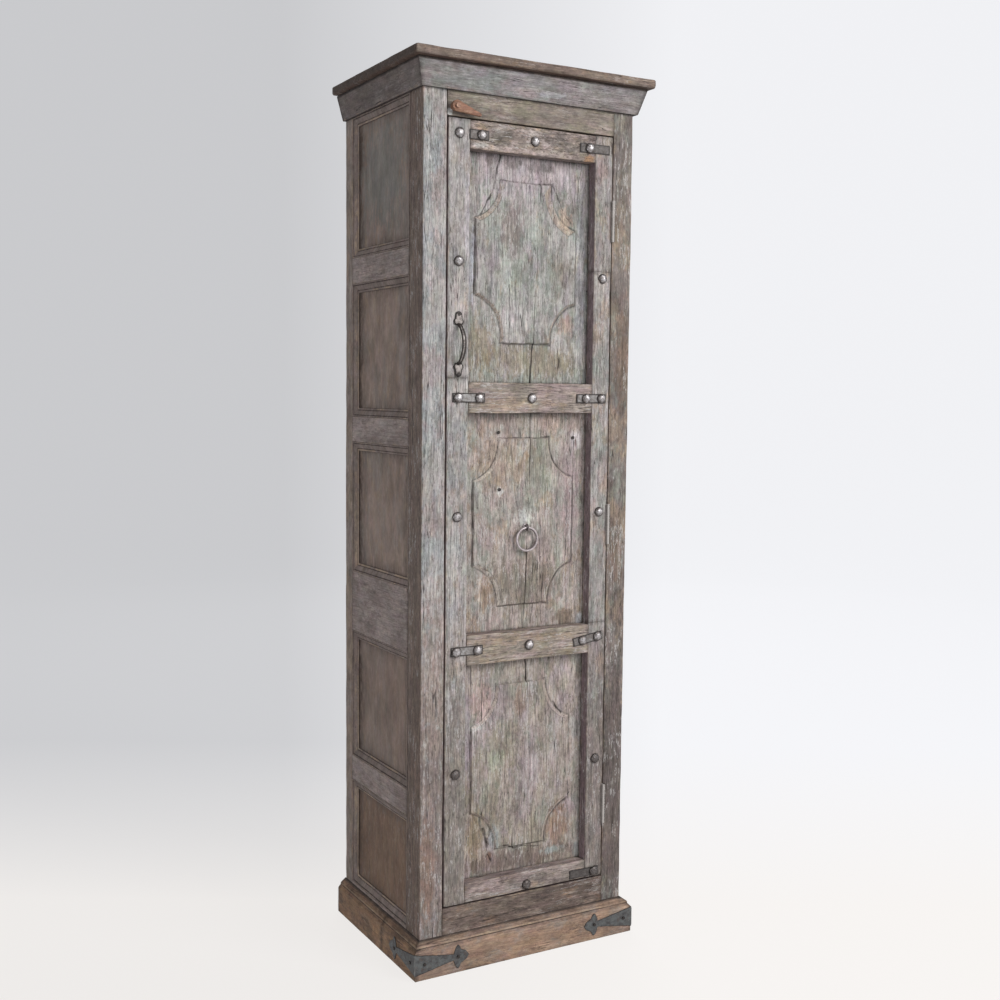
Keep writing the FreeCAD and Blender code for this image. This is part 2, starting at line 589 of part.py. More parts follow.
keep(group("hinge_pins", pins), "hinge_pins")

# Turn button on the head rail, with its block and pivot screw
button_x = f"({opening_left} + button_side_in)"
button_z = f"({opening_head} + button_above_door)"
button_y = f"({front} - button_lift - button_play)"
button_front = f"({button_y} - button_thick)"
screw_head_y = f"({button_front} - button_play)"
tip_x = "(button_long - (button_head_wide + button_tip_wide) / 2)"
taper = f"((button_head_wide - button_tip_wide) / 2 / {tip_x})"
button_disc = rod("button_disc", ("0", "0", "0"), "button_head_wide", "button_thick", TO_FRONT)
button_tip = rod("button_tip", (tip_x, "0", "0"), "button_tip_wide", "button_thick", TO_FRONT)
# The straight edges touch both round ends: the wedge runs between the points of touch.
head_half = f"button_head_wide / 2 * sqrt(1 - pow({taper}; 2))"
tip_half = f"button_tip_wide / 2 * sqrt(1 - pow({taper}; 2))"
arm_head = (f"button_head_wide / 2 * {taper}", "0", "button_thick", f"-({head_half})", head_half)
arm_tip = (f"{tip_x} + button_tip_wide / 2 * {taper}", "0", "button_thick", f"-({tip_half})", tip_half)
button_arm = wedge("button_arm", ("0", "0", "0"), QUARTER_BACK, arm_head, arm_tip)
button = fuse("button_whole", [button_disc, button_arm, button_tip])
button_turn = FreeCAD.Rotation(FreeCAD.Vector(0, 1, 0), measure("button_rest_angle"))
put(button, (button_x, button_y, button_z), button_turn)
tie(button, "Placement.Rotation.Angle", "button_rest_angle")
bore_at = (button_x, f"{button_y} + cut_over", button_z)
bore_wide = "button_screw_wide + 2 * running_gap"
button_bore = rod("button_bore", bore_at, bore_wide, "button_thick + 2 * cut_over", TO_FRONT)
keep(cut("turn_button", button, [button_bore]), "turn_button")
screw_shank = rod("button_shank", (button_x, screw_head_y, button_z), "button_screw_wide",
                  f"{front} + button_screw_long - {screw_head_y}", ALONG_BACK)
screw_at = (button_x, screw_head_y, button_z)
screw_head = rod("button_screw_head", screw_at, "button_screw_head_wide", "button_screw_head_tall", TO_FRONT)
keep(fuse("turn_button_screw", [screw_shank, screw_head]), "turn_button_screw")
block = rod("button_block", (button_x, front, button_z), "button_block_wide", "button_lift", TO_FRONT)
keep(cut("turn_button_block", block, [screw_shank]), "turn_button_block")

# Side frames: rails with tenons, panels in grooves, and sloped mouldings
groove_near = "side_recess"
groove_far = "(side_recess + side_panel_thick)"
frame_front = f"({front} + post_front_deep)"
frame_back = f"({back} - post_back_deep)"
frame_deep = f"({frame_back} - {frame_front})"
side_feet = ["0"] + [head for _, head in side_levels]
side_heads = [foot for foot, _ in side_levels] + [post_top]
mortise_cuts = {}
for side, face, way in (("left", left, 1), ("right", right, -1)):
    def across(low, high):
        """Two distances inwards from this side's face, as an ordered pair of x expressions."""
        pair = [f"({face} + ({way}) * ({low}))", f"({face} + ({way}) * ({high}))"]
        return pair if way > 0 else pair[::-1]

    rail_x = across("0", "side_rail_thick")
    slot_x = across(groove_near, groove_far)
    rails = []
    tenons = []
    for foot, head in zip(side_feet, side_heads):
        body_box = box("side_rail", (rail_x[0], frame_front, foot), (rail_x[1], frame_back, head))
        tenon = box("side_tenon", (slot_x[0], f"{frame_front} - tenon_long", f"{foot} + tenon_shoulder"),
                    (slot_x[1], f"{frame_back} + tenon_long", f"{head} - tenon_shoulder"))
        tenons.append(tenon)
        rails.append(fuse("side_rail_whole", [body_box, tenon]))
    mould = "side_mould_wide"
    thin_from = "(side_recess - side_mould_thin)"
    grooves = []
    panels = []
    strips = []
    for foot, head in side_levels:
        low = (slot_x[0], f"{frame_front} - groove_deep", f"{foot} - groove_deep")
        high = (slot_x[1], f"{frame_back} + groove_deep", f"{head} + groove_deep")
        grooves.append(box("groove", low, high))
        panel_low = (slot_x[0], f"{low[1]} + panel_edge_gap", f"{low[2]} + panel_edge_gap")
        panel_high = (slot_x[1], f"{high[1]} - panel_edge_gap", f"{high[2]} - panel_edge_gap")
        panels.append(box("side_panel", panel_low, panel_high))
        bay_tall = f"({head} - {foot})"
        # The four strips are thick at the frame and thin at the panel. Their ends are mitred.
        thick = ("0", "side_recess") if way > 0 else ("-side_recess", "0")
        thin = (thin_from, "side_recess") if way > 0 else ("-side_recess", f"-{thin_from}")
        for turn, long, near_at, far_at in ((None, bay_tall, (frame_front, foot), (frame_back, foot)),
                                            (TO_FRONT, frame_deep, (frame_back, foot), (frame_back, head))):
            outer = thick + ("0", long)
            inner = thin + (mould, f"{long} - {mould}")
            strips.append(wedge("mould_near", (face,) + near_at, turn, ("0",) + outer, (mould,) + inner))
            strips.append(wedge("mould_far", (face,) + far_at, turn, ("-" + mould,) + inner, ("0",) + outer))
    groove_cuts = group("groove_cuts_" + side, grooves)
    mortise_cuts[side] = [group("mortise_cuts_" + side, tenons), groove_cuts]
    keep(cut("side_rails_" + side, group("side_rail_set", rails), [groove_cuts]), "side_rails_" + side)
    keep(group("side_panels_" + side, panels), "side_panels_" + side)
    keep(group("side_mouldings_" + side, strips), "side_mouldings_" + side)

# Face rails between the front posts
head_low = (opening_left, front, opening_head)
head_high = (opening_right, f"{front} + face_rail_thick", post_top)
sill_low = (opening_left, front, "(plinth_tall - sill_behind_tall)")
sill_high = (opening_right, f"{front} + face_rail_thick", opening_foot)
tenon_y = f"({front} + (face_rail_thick - face_tenon_thick) / 2)"
face_tenons = []
for label, low, high in (("case_head_rail", head_low, head_high), ("case_sill_rail", sill_low, sill_high)):
    tenon = box("face_tenon", (f"{low[0]} - tenon_long", tenon_y, f"{low[2]} + tenon_shoulder"),
                (f"{high[0]} + tenon_long", f"{tenon_y} + face_tenon_thick", f"{high[2]} - tenon_shoulder"))
    face_tenons.append(tenon)
    whole = fuse(label + "_whole", [box(label + "_board", low, high), tenon])
    keep(cut(label, whole, [screw_shank]) if label == "case_head_rail" else whole, label)

# Back rails and boards, in a rebate of the back posts
board_face = f"({back} - back_board_thick)"
back_rails = []
back_tenons = []
back_left = f"({left} + post_back_wide)"
back_right = f"({right} - post_back_wide)"
for foot, head in (("0", "back_rail_tall"), (f"{post_top} - back_rail_tall", post_top)):
    rail_low = (back_left, f"{board_face} - back_rail_thick", foot)
    rail = box("back_rail", rail_low, (back_right, board_face, head))
    low_y = f"({board_face} - (back_rail_thick + back_tenon_thick) / 2)"
    low = (f"{back_left} - back_tenon_long", low_y, f"{foot} + tenon_shoulder")
    high = (f"{back_right} + back_tenon_long", f"{low_y} + back_tenon_thick", f"{head} - tenon_shoulder")
    tenon = box("back_tenon", low, high)
    back_tenons.append(tenon)
    back_rails.append(fuse("back_rail_whole", [rail, tenon]))
keep(group("back_rails", back_rails), "back_rails")
rebate_left = f"({back_left} - back_rebate_wide)"
rebate_right = f"({back_right} + back_rebate_wide)"
BACK_BOARDS = ("back_board_left", "back_board_middle", "back_board_right")
gaps = f"(2 * panel_edge_gap + {len(BACK_BOARDS) - 1} * back_board_gap)"
board_wide = f"(({rebate_right} - {rebate_left} - {gaps}) / {len(BACK_BOARDS)})"
for place, label in enumerate(BACK_BOARDS):
    start = f"({rebate_left} + panel_edge_gap + {place} * ({board_wide} + back_board_gap))"
    keep(box(label, (start, board_face, "0"), (f"{start} + {board_wide}", back, post_top)), label)

# Posts
for label, side, low, high, extra in (
        ("post_front_left", "left", (left, front, "0"), (opening_left, frame_front, post_top), face_tenons),
        ("post_front_right", "right", (opening_right, front, "0"), (right, frame_front, post_top),
         face_tenons + case_leaf_beds + [case_screw_group]),
        ("post_back_left", "left", (left, frame_back, "0"), (back_left, back, post_top), back_tenons),
        ("post_back_right", "right", (back_right, frame_back, "0"), (right, back, post_top), back_tenons)):
    tools = mortise_cuts[side] + extra
    if label == "post_back_left":
        tools = tools + [box("rebate", (rebate_left, board_face, "-cut_over"),
                             (f"{back_left} + cut_over", f"{back} + cut_over", f"{post_top} + cut_over"))]
    if label == "post_back_right":
        tools = tools + [box("rebate", (f"{back_right} - cut_over", board_face, "-cut_over"),
                             (rebate_right, f"{back} + cut_over", f"{post_top} + cut_over"))]
    keep(cut(label, box(label + "_beam", low, high), [fuse(label + "_cuts", tools)]), label)

# Bottom board and shelves, notched round the posts, on battens
shelf_left = f"({left} + side_rail_thick + shelf_fit)"
shelf_right = f"({right} - side_rail_thick - shelf_fit)"
shelf_front = f"({door_back} + shelf_stop_gap)"
shelf_back = f"({board_face} - back_rail_thick - shelf_fit)"
interior_tall = f"({post_top} - {opening_foot})"
notches = []
for low_x, high_x, low_y, high_y in (
        (f"{left}", f"{opening_left} + shelf_fit", front, f"{frame_front} + shelf_fit"),
        (f"{opening_right} - shelf_fit", right, front, f"{frame_front} + shelf_fit"),
        (left, f"{back_left} + shelf_fit", f"{frame_back} - shelf_fit", back),
        (f"{back_right} - shelf_fit", right, f"{frame_back} - shelf_fit", back)):
    notches.append(box("notch", (low_x, low_y, "0"), (high_x, high_y, post_top)))
notch_cuts = group("notches", notches)
board_tops = [opening_foot] + [f"({opening_foot} + {share} * {interior_tall})" for share in SHELF_SHARES]
bearers = {"left": [], "right": []}
for label, top in zip(("bottom_board", "shelf_lower", "shelf_middle", "shelf_upper"), board_tops):
    under = f"({top} - shelf_thick)"
    start = f"({front} + face_rail_thick + shelf_fit)" if label == "bottom_board" else shelf_front
    board = box(label + "_board", (shelf_left, start, under), (shelf_right, shelf_back, top))
    keep(cut(label, board, [notch_cuts]), label)
    for side, low_x in (("left", f"({left} + side_rail_thick)"),
                        ("right", f"({right} - side_rail_thick - bearer_wide)")):
        low = (low_x, frame_front, f"{under} - bearer_tall")
        bearers[side].append(box("bearer", low, (f"{low_x} + bearer_wide", frame_back, under)))
for side in ("left", "right"):
    keep(group("shelf_bearers_" + side, bearers[side]), "shelf_bearers_" + side)

# Crown board, with a worn round edge at the front and both sides
crown = new_body("crown_body")
crown_wide = "body_wide + 2 * crown_side_over"
crown_deep = "body_deep + crown_front_over"
crown_corners = [("0", "0"), (crown_wide, "0"), (crown_wide, crown_deep), ("0", crown_deep)]
crown_sketch = outline(crown, "XY_Plane", "crown_outline", crown_corners)
crown_pad = pad(crown, crown_sketch, "crown_pad", "crown_thick", False)
doc.recompute()
round_edges = []
for index, edge in enumerate(crown_pad.Shape.Edges, start=1):
    middle = edge.CenterOfMass
    level_edge = abs(edge.Vertexes[0].Z - edge.Vertexes[-1].Z) < measure("crown_edge_round")
    if level_edge and middle.y < measure(crown_deep) - measure("crown_edge_round"):
        round_edges.append("Edge%d" % index)
crown_round = crown.newObject("PartDesign::Fillet", "crown_round")
crown_round.Base = (crown_pad, round_edges)
tie(crown_round, "Radius", f"min(crown_edge_round; crown_thick * {CROWN_ROUND_SHARE})")
keep(put(crown, (f"{left} - crown_side_over", f"{front} - crown_front_over", post_top)), "crown_board")

# Cornice and plinth boards: wedges that slope outwards and meet at mitres
def mitred(label, at, turn, long, steps, mitre_start, mitre_end):
    """Board along local X. A step is (out, low z, high z), and a mitred end runs out as far as the step."""
    pieces = []
    for (out_a, low_a, high_a), (out_b, low_b, high_b) in zip(steps[::2], steps[1::2]):
        def face_at(out, low, high):
            start = f"-({out})" if mitre_start else "0"
            stop = f"{long} + ({out})" if mitre_end else long
            return (out, start, stop, low, high)

        pieces.append(wedge(label, at, turn, face_at(out_a, low_a, high_a), face_at(out_b, low_b, high_b)))
    return fuse(label, pieces)


cornice_steps = [("0", "0", "cornice_tall"), ("cornice_foot_out", "0", "cornice_tall"),
                 ("cornice_foot_out", "0", "cornice_tall"),
                 ("cornice_head_out", "cornice_tall - cornice_lip_tall", "cornice_tall")]
plinth_steps = [("0", "0", "plinth_tall"), ("plinth_step_out", "0", "plinth_step_tall"),
                ("plinth_step_out", "0", "plinth_bevel_tall"), ("plinth_out", "0", "plinth_face_tall")]
cornice_foot = f"({post_top} - cornice_tall)"
for label, x, y, turn, long, start, end in (
        ("cornice_front", right, front, HALF_TURN, "body_wide", True, True),
        ("cornice_left", left, front, QUARTER_TURN, "body_deep", True, False),
        ("cornice_right", right, back, QUARTER_BACK, "body_deep", False, True)):
    keep(mitred(label, (x, y, cornice_foot), turn, long, cornice_steps, start, end), label)
plinth_joint = f"({front} + plinth_joint_back)"
joint_to_back = "(body_deep - plinth_joint_back)"

# Iron straps round the front corners of the plinth, and their nails
strap_mid = "corner_strap_up"
strap_corner_x = f"({left} - plinth_out - corner_strap_thick)"
strap_corner_y = f"({front} - plinth_out - corner_strap_thick)"
arm = "corner_strap_arm_long"
tip = "(corner_strap_arm_long + corner_strap_head_long)"
barb_at = f"(corner_strap_arm_long + corner_strap_head_long * {STRAP_LOBE_SHARE})"
waist_at = f"(corner_strap_arm_long + corner_strap_head_long * {STRAP_WAIST_SHARE})"


def strap_corners():
    upper = [("0", "corner_strap_root_tall / 2"), (arm, "corner_strap_neck_tall / 2")]
    upper += [(barb_at, "corner_strap_head_tall / 2")]
    upper += [(waist_at, f"corner_strap_head_tall * {STRAP_WAIST_TALL_SHARE}")]
    lower = [(x, f"{strap_mid} - {rise}") for x, rise in upper]
    higher = [(x, f"{strap_mid} + {rise}") for x, rise in upper[::-1]]
    return lower + [(tip, strap_mid)] + higher


plinth_nail_pieces = []
plinth_nail_holes = []
for label, x, turn in (("corner_strap_left", strap_corner_x, FreeCAD.Rotation()),
                       ("corner_strap_right", f"({right} + plinth_out + corner_strap_thick)", QUARTER_TURN)):
    strap = new_body(label + "_body")
    for plane, back_side in (("XZ_Plane", True), ("YZ_Plane", False)):
        arm_sketch = outline(strap, plane, label + plane, strap_corners())
        pad(strap, arm_sketch, label + plane + "_pad", "corner_strap_thick", back_side)
    put(strap, (x, strap_corner_y, "0"), turn)
    way = 1 if label.endswith("left") else -1
    holes = []
    for off in ("corner_strap_root_tall / 2", barb_at):
        front_at = (f"{x} + ({way}) * ({off})", strap_corner_y, strap_mid)
        side_at = (x, f"{strap_corner_y} + {off}", strap_mid)
        inward = ALONG_X if way > 0 else ALONG_MINUS_X
        outward = ALONG_MINUS_X if way > 0 else ALONG_X
        for at, shank_turn, head_turn in ((front_at, ALONG_BACK, TO_FRONT), (side_at, inward, outward)):
            shank = rod("strap_nail_shank", at, "small_shank_wide", "small_shank_long", shank_turn)
            head = rod("strap_nail_head", at, "small_nail_wide", "small_nail_tall", head_turn)
            plinth_nail_pieces.append(fuse("strap_nail", [shank, head]))
            holes.append(shank)
    plinth_nail_holes += holes
    keep(cut(label, strap, [group(label + "_holes", holes)]), label)
keep(group("corner_strap_nails", plinth_nail_pieces), "corner_strap_nails")
plinth_holes = group("plinth_holes", plinth_nail_holes)
for label, at, turn, long, start, end in (
        ("plinth_front", (right, front, "0"), HALF_TURN, "body_wide", True, True),
        ("plinth_left_front", (left, front, "0"), QUARTER_TURN, "plinth_joint_back", True, False),
        ("plinth_left_back", (left, plinth_joint, "0"), QUARTER_TURN, joint_to_back, False, False),
        ("plinth_right", (right, back, "0"), QUARTER_BACK, "body_deep", False, True)):
    board = mitred(label + "_board", at, turn, long, plinth_steps, start, end)
    keep(cut(label, board, [plinth_holes]), label)

# Door stiles and rails: rebated at the back for the panel boards, mortise and tenon at the joints
tenon_back = f"({ground} - (door_recess - door_tenon_thick) / 2)"
tenon_front = f"({tenon_back} - door_tenon_thick)"
door_tenons = []
for label, foot, head in zip(rail_names, rail_feet, rail_heads):
    pieces = [box(label + "_face", (panel_left, front, foot), (panel_right, ground, head))]
    low_z = foot if label == "door_rail_bottom" else f"{foot} + door_rebate_wide"
    high_z = head if label == "door_rail_top" else f"{head} - door_rebate_wide"
    pieces.append(box(label + "_back", (f"{panel_left} - door_rebate_wide", ground, low_z),
                      (f"{panel_right} + door_rebate_wide", door_back, high_z)))
    tenon = box(label + "_tenon", (f"{panel_left} - door_tenon_long", tenon_front, f"{foot} + tenon_shoulder"),
                (f"{panel_right} + door_tenon_long", tenon_back, f"{head} - tenon_shoulder"))
    door_tenons.append(tenon)
    keep(cut(label, fuse(label + "_whole", pieces + [tenon]), [all_shanks]), label)

latch_rebate = f"({panel_left} - door_rebate_wide)"
hinge_rebate = f"({panel_right} + door_rebate_wide)"
stile_latch = fuse("stile_latch_whole", [
    box("latch_face", (door_left, front, door_foot), (panel_left, ground, door_head)),
    box("latch_back", (door_left, ground, door_foot), (latch_rebate, door_back, door_head))])
latch_cuts = fuse("latch_cuts", door_tenons + shank_cuts + [handle_hole_low, handle_hole_high])
keep(cut("door_stile_latch", stile_latch, [latch_cuts]), "door_stile_latch")
stile_hinge = fuse("stile_hinge_whole", [
    box("hinge_face", (panel_right, front, door_foot), (door_right, ground, door_head)),
    box("hinge_back", (hinge_rebate, ground, door_foot), (door_right, door_back, door_head))])
hinge_cuts = fuse("hinge_cuts", door_tenons + shank_cuts + door_leaf_beds + door_screws)
keep(cut("door_stile_hinge", stile_hinge, [hinge_cuts]), "door_stile_hinge")

# Panel boards: each panel is two boards with a raised field whose corners are scooped
low_margins = ("field_margin_tall", "field_margin_tall", "field_low_margin")
panel_names = ("bottom", "middle", "top")
for (foot, head), seam_ends, low_margin, name in zip(door_levels, SEAM_SHARES, low_margins, panel_names):
    seam_foot, seam_head = seam_ends
    edge = "(door_rebate_wide - panel_edge_gap)"
    wide = f"({panel_wide} + 2 * {edge})"
    tall = f"({head} - {foot} + 2 * {edge})"
    field_left = f"({edge} + field_left_margin)"
    field_right = f"({wide} - {edge} - field_right_margin)"
    field_foot = f"({edge} + {low_margin})"
    field_head = f"({tall} - {edge} - field_margin_tall)"
    scoop_wide = f"({SCOOP_WIDE_SHARE} * ({field_right} - {field_left}))"

    def seam(z, side):
        """x of the seam at a height, half the crack to one side of it."""
        lean = f"{panel_wide} * ({seam_foot} + ({seam_head} - {seam_foot}) * ({z}) / {tall})"
        return f"({edge} + {lean} + ({side}) * board_seam_gap / 2)"

    left_board = [("0", "0"), (seam("0", -1), "0"), (seam(tall, -1), tall), ("0", tall)]
    left_field = [(seam(field_foot, -1), field_foot), (seam(field_head, -1), field_head),
                  (f"{field_left} + {scoop_wide}", field_head, "-scoop_round"),
                  (field_left, f"{field_head} - scoop_tall"),
                  (field_left, f"{field_foot} + scoop_tall", "-scoop_round"),
                  (f"{field_left} + {scoop_wide}", field_foot)]
    right_board = [(seam("0", 1), "0"), (wide, "0"), (wide, tall), (seam(tall, 1), tall)]
    right_field = [(seam(field_foot, 1), field_foot),
                   (f"{field_right} - {scoop_wide}", field_foot, "-scoop_round"),
                   (field_right, f"{field_foot} + scoop_tall"),
                   (field_right, f"{field_head} - scoop_tall", "-scoop_round"),
                   (f"{field_right} - {scoop_wide}", field_head), (seam(field_head, 1), field_head)]
    for side, board_corners, field_corners in (("left", left_board, left_field),
                                               ("right", right_board, right_field)):
        label = f"panel_{name}_{side}"
        board = new_body(label + "_body")
        pad(board, outline(board, "XZ_Plane", label + "_ground", board_corners), label + "_ground_pad",
            "door_thick - door_recess", True)
        field_sketch = outline(board, "XZ_Plane", label + "_field", field_corners)
        pad(board, field_sketch, label + "_field_pad", "field_thick", False)
        put(board, (f"{panel_left} - {edge}", ground, f"{foot} - {edge}"))
        if name == "middle":
            board = cut(label, board, [fuse(label + "_holes", old_holes + [eye_shank])])
        keep(board, label)

doc.recompute()
for made in doc.Objects:
    if "Invalid" in made.State or "Error" in made.State:
        raise RuntimeError("%s did not compute: %s" % (made.Name, made.State))
for made in subparts:
    if made.Shape.isNull() or not made.Shape.isValid() or not made.Shape.Solids:
        raise RuntimeError("%s has no valid solid" % made.Label)

os.makedirs("parts", exist_ok=True)
for made in subparts:
    made.Shape.exportStep("parts/%s.step" % made.Label)
    print(made.Label, len(made.Shape.Solids), "solids", round(made.Shape.Volume / 1000, 1), "cm3")
print(len(subparts), "sub-parts")
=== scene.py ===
import math

import bpy
import numpy as np
from mathutils import Matrix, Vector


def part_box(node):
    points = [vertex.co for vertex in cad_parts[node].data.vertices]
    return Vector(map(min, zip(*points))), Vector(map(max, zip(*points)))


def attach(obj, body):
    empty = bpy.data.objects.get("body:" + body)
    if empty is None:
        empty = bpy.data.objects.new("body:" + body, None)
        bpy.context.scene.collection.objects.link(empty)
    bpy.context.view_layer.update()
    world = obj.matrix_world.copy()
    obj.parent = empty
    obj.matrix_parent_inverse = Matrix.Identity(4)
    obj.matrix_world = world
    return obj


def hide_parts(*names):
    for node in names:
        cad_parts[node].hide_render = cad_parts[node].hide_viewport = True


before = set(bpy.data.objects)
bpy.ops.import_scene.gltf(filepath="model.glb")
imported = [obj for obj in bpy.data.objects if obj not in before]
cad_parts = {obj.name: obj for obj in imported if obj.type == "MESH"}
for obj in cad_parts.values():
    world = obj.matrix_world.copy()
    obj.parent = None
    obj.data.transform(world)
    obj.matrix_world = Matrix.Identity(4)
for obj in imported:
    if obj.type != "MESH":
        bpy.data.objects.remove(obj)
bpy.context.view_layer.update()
print("frame loaded:", len(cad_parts), "nodes")

# All lengths are in millimetres: x to the right, y to the back, z up from the middle of the cabinet's floor.
joinery = dict(
    front=-180.5, frameBack=-140.5, panelGround=-155.5, fieldFace=-160.5,
    rebate=9.5, side=253.5, panelDeep=10.0,
    sideBays=[(84.0, 327.4), (384.4, 677.2), (814.2, 1110.0), (1167.0, 1463.3), (1520.3, 1828.0)],
    sideFrom=-116.5, sideTo=180.5,
)


# Value noise: random numbers on a lattice of cells of the given size, blended by 3t2 - 2t3 between corners, -1 to 1.
# The number at a corner is worked out from its three whole numbers alone, so it is the same on every run.
def lumps(points, size, seed=0):
    farOff, seedStep = 731.5, 19.37      # keeps every cell number positive, and gives each seed its own cells
    mixers = 73856093, 19349663, 83492791
    cell = np.asarray(points, float) / np.asarray(size, float) + farOff + seedStep * seed
    whole = np.floor(cell).astype(np.int64)
    part = cell - whole
    part = part * part * (3 - 2 * part)
    total = np.zeros(cell.shape[:-1])
    for corner in np.ndindex(2, 2, 2):
        place = whole + corner
        mixed = place[..., 0] * mixers[0] ^ place[..., 1] * mixers[1] ^ place[..., 2] * mixers[2]
        mixed = ((mixed ^ (mixed >> 13)) * 1274126177) & 0x7FFFFFFF
        value = ((mixed >> 7) & 0xFFFF) / 32767.5 - 1
        total += value * np.prod(np.where(corner, part, 1 - part), axis=-1)
    return total


# A soft step: 3t2 - 2t3 of how far the value has come from low to high.
def smooth(value, low, high):
    t = np.clip((np.asarray(value, float) - low) / (high - low), 0, 1)
    return t * t * (3 - 2 * t)


# The lowest and highest corner of a solid, in millimetres.
def boxOf(node):
    low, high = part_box(node)
    return np.array(low) * 1000, np.array(high) * 1000


# Rings carried along a path: four-sided faces between neighbours, an open end closed by a fan to its middle.
def carried(rings, wear=0.0, grime=0.0, aside=0.0, closedPath=False):
    rows, count = rings.shape[:2]
    marks = np.stack([np.broadcast_to(mark, (rows, count)).reshape(-1) for mark in (wear, grime, aside)], 1)
    index = np.arange(rows * count).reshape(rows, count)
    here, there = (index, np.roll(index, -1, 0)) if closedPath else (index[:-1], index[1:])
    faces = np.stack([here, np.roll(here, -1, 1), np.roll(there, -1, 1), there], -1).reshape(-1, 4).tolist()
    points = rings.reshape(-1, 3)
    if not closedPath:
        middles = np.stack([rings[0].mean(0), rings[-1].mean(0)])
        points = np.concatenate([points, middles])
        marks = np.concatenate([marks, [marks[:count].mean(0), marks[-count:].mean(0)]])
        first = np.stack([np.roll(index[0], -1), index[0], np.full(count, rows * count)], 1)
        last = np.stack([index[-1], np.roll(index[-1], -1), np.full(count, rows * count + 1)], 1)
        faces += first.tolist() + last.tolist()
    fans = np.concatenate([[(f[0], f[i], f[i + 1]) for f in faces for i in range(1, len(f) - 1)]])
    a, b, c = points[fans[:, 0]], points[fans[:, 1]], points[fans[:, 2]]
    if np.sum(a * np.cross(b, c)) < 0:
        faces = [f[::-1] for f in faces]
    return points, faces, marks


# One object of one or more closed shells, placed by its own points. Each point carries its wear, which on the iron
# and on the panels' crests also places a painted highlight; its grime, which also places painted shade in corners,
# gaps, creases and round the foot of the iron; and how far its face is turned away from the front, which places
# painted shade on that face.
def piece(name, body, nodes, finish, shells, sharpAngle=38):
    points, faces, marks, offset = [], [], [], 0
    for shellPoints, shellFaces, shellMarks in shells:
        points.append(shellPoints)
        marks.append(shellMarks)
        faces += [[v + offset for v in f] for f in shellFaces]
        offset += len(shellPoints)
    points, marks = np.concatenate(points), np.concatenate(marks)
    mesh = bpy.data.meshes.new(name)
    mesh.from_pydata((points / 1000).tolist(), [], faces)
    for column, label in enumerate(("wear", "grime", "aside")):
        mesh.attributes.new(label, "FLOAT", "POINT").data.foreach_set("value", marks[:, column].astype(np.float32))
    mesh.polygons.foreach_set("use_smooth", np.ones(len(faces), bool))
    mesh.set_sharp_from_angle(angle=math.radians(sharpAngle))
    mesh.materials.append(finish)
    thing = bpy.data.objects.new(name, mesh)
    bpy.context.scene.collection.objects.link(thing)
    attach(thing, body)
    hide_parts(*nodes)


# A worn piece in the place of one solid.
def wornPiece(node, body, finish, shells):
    piece(node + "_worn", body, [node], finish, shells)


plainBoard = dict(round=1.6, uneven=0.7, dent=0.5, step=9.0, sideStep=7.0, endRound=0.8, corners=(1, 1, 1, 1),
                  edgeReach=3.0, endGrime=0.7, endGrimeReach=2.4, seed=1, cornerPoints=5, longSwell=46, shortSwell=17,
                  leastRadius=0.15, dipAcross=38.0, dipAlong=150.0, fineDip=13)


